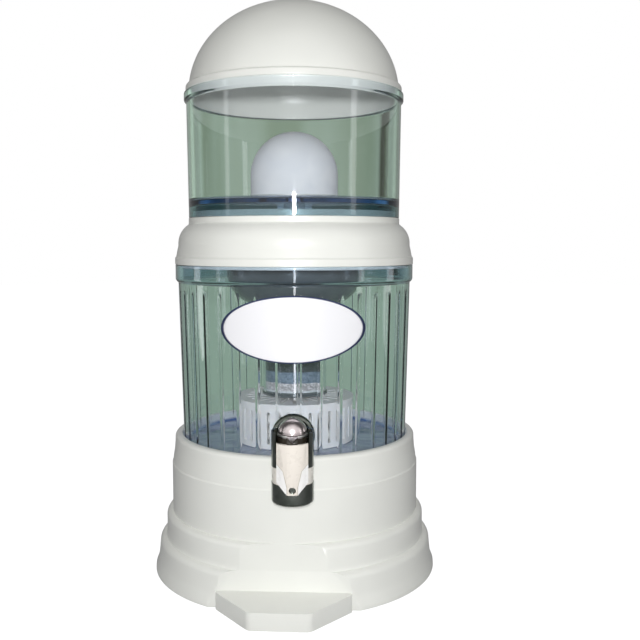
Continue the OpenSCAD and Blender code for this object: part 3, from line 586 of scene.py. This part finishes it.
# Clear styrene: sharp reflections, slow waves left by the mould, and a tint
# that only shows where light runs a long way inside the plastic.
def clear_styrene(name, colour, depth_colour, density):
    """Clear styrene: colour tints its skin, and depth_colour its thickness."""
    made = new_material(
        name,
        colour=colour,
        gloss=(14, 3, 0.0, 0.025),
        skin=(34, 1, 0.12, 0.5),
        Transmission_Weight=1.0,
        IOR=1.5,
    )
    tree = made.node_tree
    output = tree.get_output_node("ALL")
    shader = output.inputs["Surface"].links[0].from_node
    depth = add_node(tree, "VolumeAbsorption", {"Color": linear(depth_colour), "Density": density})
    tree.links.new(depth.outputs[0], output.inputs["Volume"])
    path = add_node(tree, "LightPath")
    soft_ray = add_node(
        tree,
        "Math",
        {0: path.outputs["Is Shadow Ray"], 1: path.outputs["Is Diffuse Ray"]},
        operation="MAXIMUM",
    )
    pass_on = add_node(tree, "BsdfTransparent", {"Color": linear("#fdfefe")})
    mix = add_node(
        tree, "MixShader", {0: soft_ray.outputs[0], 1: shader.outputs[0], 2: pass_on.outputs[0]}
    )
    tree.links.new(mix.outputs[0], output.inputs["Surface"])
    return made


clear_tint = "#feffff"
edge_tint = "#7f9cc8"
# Painted glints: deep blue blotches in the floor, for light bent by the flutes.
painted_glint_blue = "#1f4fae"
band_tint = "#cbd9e4"
glint_blotch_size = 16


def lower_tint_and_glints(tree, place):
    """The plastic's blue low in the floor with painted deep blue glints, a clear wall, and a
    greyer band at the mouth.
    """
    glint_blotches = {"Vector": place, "Scale": 1 / (glint_blotch_size * mm), "Detail": 1}
    glint_noise = add_node(tree, "TexNoise", glint_blotches)
    blue = add_node(
        tree,
        "ValToRGB",
        {"Fac": glint_noise.outputs["Fac"]},
        [(0.42, edge_tint), (0.55, painted_glint_blue)],
    )
    z = add_node(tree, "SeparateXYZ", {"Vector": place}).outputs["Z"]
    above = add_node(
        tree,
        "MapRange",
        {"Value": z, "From Min": (tank_floor - 1) * mm, "From Max": (tank_floor + 3) * mm},
    )
    wall = add_node(
        tree,
        "Mix",
        {0: above.outputs["Result"], 6: blue.outputs["Color"], 7: linear(clear_tint)},
        data_type="RGBA",
    )
    at_band = add_node(
        tree, "MapRange", {"Value": z, "From Min": wall_top * mm, "From Max": band_z * mm}
    )
    return add_node(
        tree,
        "Mix",
        {0: at_band.outputs["Result"], 6: wall.outputs[2], 7: linear(band_tint)},
        data_type="RGBA",
    ).outputs[2]


styrene = clear_styrene("clear_blue_styrene", lower_tint_and_glints, "#5f9ee8", 24)

tank_outline = (
    fillet([(0, seat_z, 0), (tank_r, seat_z, floor_round), (tank_radius(flute_low), flute_low, 0)])
    + [Vector((tank_radius(z), z)) for z in wall_rings]
    + [Vector((tank_radius(z), z)) for z in [fade_z + fade_rise * k for k in range(fade_rings)]]
    + fillet(
        [
            (tank_radius(wall_top - 3), wall_top - 3, 0),
            (tank_radius(wall_top), wall_top, 1.0),
            (band_r, band_z, 4.5),
            (band_r, tank_top, 0.8),
            (band_r - tank_wall, tank_top, 0.8),
            (band_r - tank_wall, band_z + 1.2, 1.5),
            (tank_radius(wall_top) - tank_wall, wall_top + 1.2, 4.5),
            (tank_r - tank_wall, tank_floor, 4),
            (0, tank_floor, 0),
        ]
    )
)
# The spin's steps are shared out anew over each half flute, so that most of
# them lie in the groove. Each pair is a share of the half and of the depth.
across_flute = [0, 0.66, 0.73, 0.79, 0.85, 0.905, 0.955, 1]
groove_shape = [0, 0, 0, 0.1, 0.57, 0.86, 0.97, 1]
half_steps = len(across_flute) - 1
hub_r = 20
outer_skin = 0.5
tank = turned(tank_outline, steps=flute_count * 2 * half_steps)
for vert in tank.verts:
    r = math.hypot(vert.co.x, vert.co.y)
    z = vert.co.z / mm
    if r / mm < hub_r:
        continue
    step = round(math.atan2(vert.co.y, vert.co.x) * flute_count * half_steps / math.pi)
    flute = round(step / (2 * half_steps))
    part = step - flute * 2 * half_steps
    across = across_flute[abs(part)]
    turn_by = flute + math.copysign(across / 2, part)
    a = math.radians(turn_by * 360 / flute_count + flute_turn - 90)
    if r / mm > tank_radius(z) - outer_skin and flute_low - 1 < z <= wall_top:
        fade = min(1.0, max(0.0, (flute_top - z) / flute_fade))
        r -= flute_depth * groove_shape[abs(part)] * math.sqrt(fade) * mm
    vert.co.x = r * math.cos(a)
    vert.co.y = r * math.sin(a)
make_piece(
    "lower_tank_shell",
    tank,
    [styrene],
    "tank_assembly",
    "lower_tank",
    sharp=50,
)

# ----------------------------------------------------------------- badge
# A plain oval of white vinyl stuck to the front of the tank, with a thin
# dark blue border. It carries no words or marks.
badge_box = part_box("badge")
badge_half_w = (badge_box[1].x - badge_box[0].x) / 2
badge_half_h = (badge_box[1].z - badge_box[0].z) / 2
badge_z = (badge_box[1].z + badge_box[0].z) / 2
badge_t = 0.35
badge_gap = 0.1
badge_rings = 14
badge_spokes = 96
badge_white = "#f7f7fa"
border_blue = "#2f3a63"
border_from = 0.955
border_full = 0.97


def badge_colour(tree, place):
    """White up to a dark blue border that follows the oval."""
    oval = add_node(
        tree,
        "Mapping",
        {
            "Vector": place,
            "Location": (0, 0, -badge_z / badge_half_h),
            "Scale": (1 / badge_half_w, 0, 1 / badge_half_h),
        },
    )
    reach = add_node(tree, "VectorMath", {0: oval.outputs[0]}, operation="LENGTH")
    return add_node(
        tree,
        "ValToRGB",
        {"Fac": reach.outputs["Value"]},
        [(border_from, badge_white), (border_full, border_blue)],
    ).outputs["Color"]


# Gloss vinyl film: clean white, with a softer shine than the wall round it.
vinyl = new_material("gloss_vinyl", colour=badge_colour, gloss=(12, 3, 0.35, 0.45), IOR=1.45)
badge = bmesh.new()
grid = []
for k in range(badge_rings + 1):
    share = k / badge_rings
    ring = []
    for i in range(badge_spokes if k else 1):
        a = 2 * math.pi * i / badge_spokes
        x = share * badge_half_w * math.cos(a)
        z = badge_z + share * badge_half_h * math.sin(a)
        radius = (tank_radius(z / mm) + badge_gap) * mm
        ring.append(badge.verts.new((x, -math.sqrt(radius**2 - x**2), z)))
    grid.append(ring)
for i in range(badge_spokes):
    j = (i + 1) % badge_spokes
    badge.faces.new((grid[0][0], grid[1][i], grid[1][j]))
    for k in range(1, badge_rings):
        badge.faces.new((grid[k][i], grid[k + 1][i], grid[k + 1][j], grid[k][j]))
badge_piece = make_piece("badge_oval", badge, [vinyl], "tank_assembly", "badge")
add_modifier(badge_piece, "SOLIDIFY", thickness=badge_t * mm, offset=1)

# ---------------------------------------------------------------- collar
# A ring cap in ivory ABS between the two tanks: a low band that overhangs
# the lower tank's mouth, a rounded shoulder and a lip that the upper tank
# stands on, round a guide. A spigot below keeps the collar centred.
collar_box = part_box("collar")
collar_z = tank_top
collar_r = collar_box[1].x / mm
collar_h = 39.2
collar_wall = 3
cap_z = collar_z + collar_h
lip_h = 6
lip_z = cap_z + lip_h
lip_r = 104.9
lip_in_r = 98.2
opening_r = 74.0
opening_drop = 14
spigot_r = band_r - tank_wall - 0.4
spigot_z = collar_box[0].z / mm
guide_t = 3
guide_h = 6
underside_r = 100
shoulder_in = 3.4
shoulder_r = 22
shoulder_x = collar_r - shoulder_in - shoulder_r
shoulder_z = cap_z - shoulder_r * math.sin(math.acos((lip_r - shoulder_x) / shoulder_r))
inner_shoulder_r = shoulder_r - collar_wall
collar_outline = (
    fillet(
        [
            (spigot_r - collar_wall, spigot_z + 4, 0),
            (spigot_r - collar_wall, spigot_z, 0.8),
            (spigot_r, spigot_z, 0.8),
            (spigot_r, collar_z, 0.3),
            (collar_r, collar_z, 0.8),
            (collar_r, collar_z + 6.4, 1.2),
            (collar_r - 1.2, collar_z + 8, 1.2),
            (collar_r - 2.4, collar_z + 14, 6),
            (collar_r - shoulder_in, shoulder_z - 2, 0),
        ]
    )
    + arc(shoulder_x, shoulder_z, shoulder_r, shoulder_r, 0, 56, 16)
    + fillet(
        [
            (lip_r + 0.6, cap_z - 0.4, 0),
            (lip_r, cap_z + 0.8, 1),
            (lip_r, lip_z, 0.8),
            (lip_in_r + guide_t, lip_z, 0.3),
            (lip_in_r + guide_t, lip_z + guide_h, 0.8),
            (lip_in_r, lip_z + guide_h, 0.8),
            (lip_in_r, cap_z, 1),
            (opening_r, cap_z, 1.2),
            (opening_r, cap_z - opening_drop, 0.8),
            (opening_r + collar_wall, cap_z - opening_drop, 0.8),
            (opening_r + collar_wall, cap_z - collar_wall, 1),
            (underside_r, cap_z - collar_wall, 0),
        ]
    )
    + arc(shoulder_x, shoulder_z, inner_shoulder_r, inner_shoulder_r, 50, 0, 10)
    + [Vector((spigot_r - collar_wall, collar_z + 5))]
)
collar = turned(collar_outline, closed=True)
make_piece("collar_ring", collar, [ivory_abs], "collar_assembly", "collar")

# ------------------------------------------------------------ upper tank
# Clear styrene like the lower tank, but with a smooth wall. A thick flange
# runs round its mouth and the floor stands on a short skirt.
upper_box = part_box("upper_tank")
upper_z = upper_box[0].z / mm
upper_top = upper_box[1].z / mm
upper_r = 104.6
upper_draft = 1.2
upper_top_r = upper_r + upper_draft
upper_wall = 3
flange_r = upper_box[1].x / mm
flange_h = 7
flange_step = 2.2
skirt_h = 12
upper_floor_t = 3.5
floor_under = upper_z + skirt_h
floor_top = floor_under + upper_floor_t
stud_hole_r = 6.2
upper_outline = fillet(
    [
        (stud_hole_r, floor_under, 0.3),
        (upper_r - upper_wall, floor_under, 1.5),
        (upper_r - upper_wall, upper_z, 0.8),
        (upper_r, upper_z, 0.8),
        (upper_top_r, upper_top - flange_h - flange_step, 2),
        (flange_r, upper_top - flange_h, 1.2),
        (flange_r, upper_top, 1.0),
        (upper_top_r - upper_wall, upper_top, 0.8),
        (upper_top_r - upper_wall, upper_top - flange_h, 1),
        (upper_r - upper_wall, floor_top, 3),
        (stud_hole_r, floor_top, 0.3),
    ],
    closed=True,
)
# The skirt's grey-blue is painted shade: it darkens what shows through it.
skirt_painted_shade = "#8ca5b0"
floor_tint = "#d5e0f4"


def upper_tint_and_skirt_shade(tree, place):
    """A skirt darkened grey-blue as painted shade, a pale floor and a clear wall, one above the
    other.
    """
    tints = [
        (upper_z, skirt_painted_shade),
        (floor_under - 1, skirt_painted_shade),
        (floor_under, floor_tint),
        (floor_top + 1, floor_tint),
        (floor_top + 2, clear_tint),
        (upper_top, clear_tint),
    ]
    z = add_node(tree, "SeparateXYZ", {"Vector": place}).outputs["Z"]
    share = add_node(
        tree, "MapRange", {"Value": z, "From Min": upper_z * mm, "From Max": upper_top * mm}
    )
    stops = [((tint_z - upper_z) / (upper_top - upper_z), tint) for tint_z, tint in tints]
    return add_node(tree, "ValToRGB", {"Fac": share.outputs["Result"]}, stops).outputs["Color"]


upper_styrene = clear_styrene("clear_styrene_smooth", upper_tint_and_skirt_shade, "#7fb0d8", 20)
upper = turned(upper_outline, closed=True)
make_piece(
    "upper_tank_shell", upper, [upper_styrene], "upper_assembly", "upper_tank"
)

# ------------------------------------------------------------------- lid
# A dome moulded in the same ivory ABS, with a rounded lip that covers the
# upper tank's flange and a spigot that keeps it centred.
lid_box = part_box("lid")
lid_top = lid_box[1].z / mm
lid_r = lid_box[1].x / mm
lid_wall = 2.6
lid_lip_h = 7
lid_lip_step = 2.7
lid_dome_r = lid_r - lid_lip_step
lid_dome_h = lid_top - upper_top
lid_spigot_h = 8
lid_spigot_t = 2.4
lid_spigot_r = upper_top_r - 3.4
lid_outline = (
    fillet(
        [
            (lid_spigot_r - lid_spigot_t, upper_top + 4, 0),
            (lid_spigot_r - lid_spigot_t, upper_top - lid_spigot_h, 0.8),
            (lid_spigot_r, upper_top - lid_spigot_h, 0.8),
            (lid_spigot_r, upper_top, 0.3),
            (lid_r, upper_top, 1.6),
            (lid_r, upper_top + lid_lip_h, 2.6),
            (lid_dome_r - 0.3, upper_top + 7.6, 1.2),
            (lid_dome_r - 0.7, upper_top + 10, 0),
        ]
    )
    + arc(0, upper_top, lid_dome_r, lid_dome_h, 8, 90, 56)
    + arc(0, upper_top, lid_dome_r - lid_wall, lid_dome_h - lid_wall, 90, 5, 40)
)
lid = turned(lid_outline, closed=True)
make_piece("lid_dome", lid, [ivory_abs], "lid_assembly", "lid")

# ---------------------------------------------------------- ceramic dome
# A hollow candle of fired diatomite, cast and dried: chalk white, quite
# matt, with open pores under half a millimetre across. Drawn at 0.8 mm.
dome_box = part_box("ceramic_dome")
dome_r = dome_box[1].x / mm
dome_z = dome_box[0].z / mm
dome_h = (dome_box[1].z - dome_box[0].z) / mm
dome_wall = 8
dome_spring_z = dome_z + dome_h - dome_r
ceramic = new_material(
    "fired_diatomite",
    colour=(18, 5, "#eaecf2", "#f3f4f8"),
    skin=(0.8, 4, 0.12, 0.6),
    IOR=1.45,
    Roughness=0.8,
)
dome_outline = (
    fillet([(dome_r - dome_wall, dome_z, 0), (dome_r, dome_z, 1.2), (dome_r, dome_z + 10, 0)])
    + arc(0, dome_spring_z, dome_r, dome_r, 0, 90, 40)
    + arc(0, dome_spring_z, dome_r - dome_wall, dome_r - dome_wall, 90, 0, 20)
)
dome = turned(dome_outline, closed=True, steps=128)
make_piece("ceramic_candle", dome, [ceramic], "upper_assembly", "ceramic_dome")


def dress(material, *nodes):
    """Gives CAD nodes' own meshes a finished material."""
    for node in nodes:
        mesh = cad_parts[node].data
        mesh.materials.clear()
        mesh.materials.append(material)


# Polypropylene, moulded white: a waxy, low sheen.
white_pp = new_material(
    "moulded_white_pp",
    colour=(25, 2, "#e6e8ea", "#f0f1f2"),
    gloss=(6, 3, 0.38, 0.5),
    skin=(1.2, 2, 0.03, 0.5),
    IOR=1.49,
)
dress(white_pp, "dome_base", "wing_nut")

# Silicone rubber: milky, with a dull skin.
silicone = new_material(
    "moulded_silicone",
    colour=(5, 2, "#d8d8d2", "#e4e4e0"),
    skin=(0.9, 2, 0.02, 0.6),
    IOR=1.41,
    Roughness=0.55,
)
dress(
    silicone, "dome_washer", "tap_outer_washer", "tap_inner_washer", "stem_seal", "valve_seal"
)

# ------------------------------------------------------------- cartridge
# The filter hangs under the upper tank: a glossy dark bowl with a cap, and
# a clear tube filled in layers with carbon, mineral sand and silica sand.
bowl_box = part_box("cartridge_bowl")
tube_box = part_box("cartridge_tube")
bowl_r = bowl_box[1].x / mm
bowl_top = bowl_box[1].z / mm
bowl_bend = 33
bowl_wall = 2.5
socket_low = bowl_box[0].z / mm
socket_h = 8
bowl_low = socket_low + socket_h
tube_r = tube_box[1].x / mm
tube_low = tube_box[0].z / mm
tube_wall = 2
tube_gap = 0.1
socket_wall = 4.4
socket_edge = 0.8
bowl_floor_t = 3
socket_r = tube_r + socket_wall
bend_x = bowl_r - bowl_bend
bend_z = bowl_low + bowl_bend
inner_bend = bowl_bend - bowl_wall
outer_stop = math.degrees(math.acos((socket_r - bend_x) / bowl_bend))
inner_stop = math.degrees(math.acos((socket_r - bend_x) / inner_bend))

# Dark ABS out of a polished mould: a wet gloss with a faint ripple.
dark_abs = new_material(
    "glossy_dark_abs",
    colour=(30, 2, "#51585b", "#62696c"),
    gloss=(8, 3, 0.12, 0.2),
    skin=(2, 2, 0.02, 0.4),
    IOR=1.53,
)
bowl_outline = (
    [Vector((tube_r + tube_gap, socket_low)), Vector((socket_r - socket_edge, socket_low))]
    + [Vector((socket_r, socket_low + socket_edge))]
    + arc(bend_x, bend_z, bowl_bend, bowl_bend, -outer_stop, 0, 24)
    + [Vector((bowl_r, bowl_top)), Vector((bowl_r - bowl_wall, bowl_top))]
    + arc(bend_x, bend_z, inner_bend, inner_bend, 0, -inner_stop, 16)
    + [Vector((tube_r + tube_gap, bowl_low + bowl_floor_t))]
)
bowl = turned(bowl_outline, closed=True, steps=144)
make_piece(
    "cartridge_bowl_shell", bowl, [dark_abs], "upper_assembly", "cartridge_bowl"
)
dress(dark_abs, "cartridge_cap", "cartridge_foot")
tube_outline = fillet(
    [
        (tube_r - tube_wall, tube_low, 0.5),
        (tube_r, tube_low, 0.5),
        (tube_r, bowl_low - tube_gap, 0.5),
        (tube_r - tube_wall, bowl_low - tube_gap, 0.5),
    ],
    closed=True,
)
tube = turned(tube_outline, closed=True, steps=128)
tube_styrene = clear_styrene("clear_styrene_tube", (40, 2, "#fafdfd", "#ffffff"), "#5f9ee8", 20)
make_piece(
    "cartridge_tube_wall",
    tube,
    [tube_styrene],
    "upper_assembly",
    "cartridge_tube",
)


def grains(name, size, dark, light, height):
    """Loose grains of that size in millimetres, each with its own shade."""
    cells_per_metre = 1 / (size * mm)

    def shades(tree, place):
        cells = add_node(tree, "TexVoronoi", {"Vector": place, "Scale": cells_per_metre})
        level = add_node(tree, "SeparateColor", {"Color": cells.outputs["Color"]}).outputs[0]
        ramp = add_node(tree, "ValToRGB", {"Fac": level}, [(0.1, dark), (0.9, light)])
        return ramp.outputs["Color"]

    def domes(tree, place):
        cells = add_node(tree, "TexVoronoi", {"Vector": place, "Scale": cells_per_metre})
        rise = {"Height": cells.outputs["Distance"], "Distance": -height * mm, "Strength": 0.9}
        return add_node(tree, "Bump", rise).outputs["Normal"]

    return new_material(name, colour=shades, skin=domes, Roughness=0.7, IOR=1.5)


dress(grains("activated_carbon", 2.2, "#15171b", "#343840", 0.8), "carbon")
dress(grains("mineral_sand", 1.6, "#56677a", "#8494a4", 0.5), "mineral_sand")
dress(grains("silica_sand", 1.4, "#a79f9f", "#efe9ea", 0.5), "silica_sand")

# Needle felt: white fibres pressed flat, with a faint nap.
felt = new_material(
    "white_felt",
    colour=(2, 4, "#d9dadb", "#f2f2f2"),
    skin=(0.7, 5, 0.3, 0.8),
    Roughness=0.95,
    Sheen_Weight=0.3,
)
dress(felt, "felt_pads")

# ------------------------------------------------------- mineral basket
# A cup of thin translucent polypropylene on the tank's floor, slotted all
# round, with a slotted lid. It holds tumbled stones that harden the water.
basket_pp = new_material(
    "translucent_pp",
    colour=(20, 2, "#f8f7f5", "#fdfcfb"),
    gloss=(5, 3, 0.3, 0.42),
    IOR=1.49,
    Subsurface_Weight=0.3,
    Subsurface_Radius=(1.0, 0.9, 0.8),
    Subsurface_Scale=0.0012,
)
dress(basket_pp, "mineral_basket", "basket_lid")

stone_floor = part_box("mineral_stones")[0].z / mm
stone_r = 7.0
stone_pitch = 14.4
stone_layers = 2
stone_rows = 3
stones = bmesh.new()
dice = random.Random(7)
for layer in range(stone_layers):
    for row in range(1, stone_rows + 1):
        ring_r = row * stone_pitch - layer * stone_pitch / 2
        stone_z = stone_floor + stone_r + layer * stone_pitch
        count = int(2 * math.pi * ring_r / stone_pitch)
        for k in range(count):
            a = 2 * math.pi * (k + layer / 2) / count
            size = dice.uniform(0.86, 0.99) * stone_r * mm
            spot = Matrix.Translation(
                (ring_r * mm * math.cos(a), ring_r * mm * math.sin(a), stone_z * mm)
            )
            squash = Matrix.Diagonal((1, dice.uniform(0.75, 1), dice.uniform(0.7, 0.95), 1))
            spin_by = Matrix.Rotation(dice.uniform(0, math.pi), 4, "Z")
            bmesh.ops.create_icosphere(
                stones, subdivisions=2, radius=size, matrix=spot @ spin_by @ squash
            )

# Tumbled stone: pale, worn smooth to an eggshell shine, with shallow pits.
stone_skin = new_material(
    "tumbled_stone",
    colour=(16, 4, "#ebe7e1", "#faf8f5"),
    gloss=(3, 3, 0.4, 0.6),
    skin=(1.5, 4, 0.15, 0.6),
    IOR=1.5,
)
make_piece(
    "tumbled_stones", stones, [stone_skin], "tank_assembly", "mineral_stones", sharp=80
)

# ------------------------------------------------------------------- tap
# A lever tap: ABS covers plated in chrome, darkened as painted reflection, over
# a cream valve body. A round flange covers the hole in the tank and a nut
# inside clamps it.
pin_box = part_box("lever_pin")
pin_z = (pin_box[0].z + pin_box[1].z) / 2
tap_y = (pin_box[0].y + pin_box[1].y) / 2

# Chrome plate on ABS, in three copies that paint in how light falls on it: a
# dark green-grey on the covers is painted reflection of a dark room, a bright
# pinkish tone on the head's dome is a painted highlight, and a lighter satin on
# its rim is a painted highlight. It follows the slow waves of the mouldings
# under it.
# Painted reflection: the covers' plate is dark green-grey for the dark room it mirrors.
covers_chrome_painted_reflection = new_material(
    "chrome_plate_painted_reflection",
    colour=(12, 3, "#5c625b", "#767a74"),
    gloss=(4, 4, 0.06, 0.13),
    skin=(7, 1, 0.05, 0.5),
    Metallic=1.0,
)
# The dome's brighter, pinkish copy of the plate is a painted highlight.
dome_chrome_painted_highlight = new_material(
    "chrome_plate_painted_highlight",
    colour=(9, 3, "#cfc3c3", "#e6dcdc"),
    gloss=(4, 4, 0.22, 0.27),
    skin=(6, 1, 0.05, 0.5),
    Metallic=1.0,
)
# The rim's lighter satin copy of the plate is a painted highlight.
rim_chrome_painted_highlight = new_material(
    "satin_chrome_painted_highlight",
    colour=(9, 3, "#dfe0dc", "#efefec"),
    gloss=(4, 4, 0.4, 0.46),
    Metallic=1.0,
)

# Moulded ABS: cream with a fine peel on the body and the nut. The glossy black
# on the bonnet and on the lever's arm is painted shade, where those parts sit
# in shade inside the covers' notch and under the head's rim.
cream_gloss = (4, 3, 0.24, 0.34)
cream_peel = (1.2, 2, 0.02, 0.5)
cream_abs = new_material(
    "moulded_cream_abs",
    colour=(12, 2, "#e9e4da", "#f0ece4"),
    gloss=cream_gloss,
    skin=cream_peel,
    IOR=1.53,
)
black_abs_painted_shade = new_material(
    "glossy_black_painted_shade",
    colour=(15, 2, "#29251f", "#37322b"),
    gloss=(6, 3, 0.12, 0.2),
    IOR=1.53,
)
dress(covers_chrome_painted_reflection, "tap_flange", "tap_cover_lower", "tap_cover_upper")
dress(cream_abs, "tap_body", "tap_nut")
# The bonnet is black as painted shade, seen through the covers' notch.
dress(black_abs_painted_shade, "tap_bonnet")


def cad_copy(node):
    """A bmesh of a CAD node, with its doubled vertices merged."""
    bm = bmesh.new()
    bm.from_mesh(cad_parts[node].data)
    bmesh.ops.remove_doubles(bm, verts=bm.verts, dist=0.005 * mm)
    bmesh.ops.recalc_face_normals(bm, faces=bm.faces)
    return bm


# The lever's head is one moulding: a bright, pinkish chrome on its dome and a
# lighter satin chrome on the rounded rim that runs round its front half, both
# painted highlights, and black on the arm that carries the paddle, as painted
# shade under the rim.
rim_radius = 11.7
rim_thick = 1.3
rim_drop = 5.5
rim_sides = 14
rim_steps = 40
arm_drop = 1.2
rim_z = pin_z - rim_drop * mm
head = cad_copy("lever_head")
# Faces below the rim take the black: painted shade under the rim.
for face in head.faces:
    face.material_index = 1 if face.calc_center_median().z < rim_z - arm_drop * mm else 0
head_faces = set(head.faces)
rim_ring = []
for k in range(rim_sides):
    a = 2 * math.pi * k / rim_sides
    reach = (rim_radius + rim_thick * math.cos(a)) * mm
    rim_ring.append(head.verts.new((reach, tap_y, rim_z + rim_thick * math.sin(a) * mm)))
rim_edges = [head.edges.new((rim_ring[k - 1], rim_ring[k])) for k in range(rim_sides)]
head.faces.new(rim_ring)
swept = bmesh.ops.spin(
    head,
    geom=rim_edges,
    cent=(0, tap_y, 0),
    axis=(0, 0, 1),
    dvec=(0, 0, 0),
    angle=-math.pi,
    steps=rim_steps,
)
rim_end = [g for g in swept["geom_last"] if isinstance(g, bmesh.types.BMEdge)]
bmesh.ops.contextual_create(head, geom=rim_end)
for face in head.faces:
    if face not in head_faces:
        face.material_index = 2
bmesh.ops.recalc_face_normals(head, faces=head.faces)
make_piece(
    "lever_head_plated",
    head,
    [dome_chrome_painted_highlight, black_abs_painted_shade, rim_chrome_painted_highlight],
    "lever_assembly",
    "lever_head",
)

# The paddle is cream with a white edge that widens towards its tip, and a thin
# grey-brown line of painted shade where the two meet.
tip_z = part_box("lever_paddle")[0].z / mm
half_w = 13.2
cream_low = tip_z + 7
cream_high = tip_z + 26
cream_width = [(0, 0.33), (0.68, 0.57), (1, 1)]
crease_shade_in = 0.4
crease_shade_out = 0.7
# The grey-brown middle stop is painted shade along the cream's edge.
paddle_tints_crease_shade = [(0.1, "#e9e2d8"), (0.5, "#b9af9f"), (0.9, "#f8f7f5")]
paddle_edge_r = 0.45


def paddle_colour(tree, place):
    """Cream up to a width that grows with height, then a line of painted shade and white."""
    parts = add_node(tree, "SeparateXYZ", {"Vector": place})
    side = add_node(tree, "Math", {0: parts.outputs["X"]}, operation="ABSOLUTE")
    along = add_node(
        tree,
        "MapRange",
        {"Value": parts.outputs["Z"], "From Min": cream_low * mm, "From Max": cream_high * mm},
    )
    width = add_node(tree, "ValToRGB", {"Fac": along.outputs["Result"]}, cream_width)
    limit = add_node(
        tree, "Math", {0: width.outputs["Color"], 1: half_w * mm}, operation="MULTIPLY"
    )
    past = add_node(tree, "Math", {0: side.outputs[0], 1: limit.outputs[0]}, operation="SUBTRACT")
    white_edge = add_node(
        tree,
        "MapRange",
        {"Value": past.outputs[0], "From Min": -crease_shade_in * mm, "From Max": crease_shade_out * mm},
    )
    return add_node(
        tree, "ValToRGB", {"Fac": white_edge.outputs["Result"]}, paddle_tints_crease_shade
    ).outputs["Color"]


paddle_abs = new_material(
    "two_tone_abs_crease_shade", colour=paddle_colour, gloss=cream_gloss, skin=cream_peel, IOR=1.53
)
paddle = make_piece(
    "lever_paddle_shield",
    cad_copy("lever_paddle"),
    [paddle_abs],
    "lever_assembly",
    "lever_paddle",
)
add_modifier(
    paddle,
    "BEVEL",
    width=paddle_edge_r * mm,
    segments=2,
    limit_method="ANGLE",
    angle_limit=math.radians(30),
)

# Stainless steel, drawn and turned: bright, with a faintly uneven polish.
steel = new_material(
    "turned_stainless",
    colour=(3, 2, "#b4b6b8", "#cfd1d2"),
    gloss=(1, 3, 0.18, 0.3),
    Metallic=1.0,
)
dress(steel, "valve_stem", "lever_pin")

# The coil spring gets its own copy of the mesh. In the tap it is pressed shorter
# as the valve rises: its lower end goes up with the valve, and its upper end
# stays under the bonnet.
spring = make_piece(
    "valve_spring_coil",
    cad_copy("valve_spring"),
    [steel],
    "valve_assembly",
    "valve_spring",
)
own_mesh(spring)
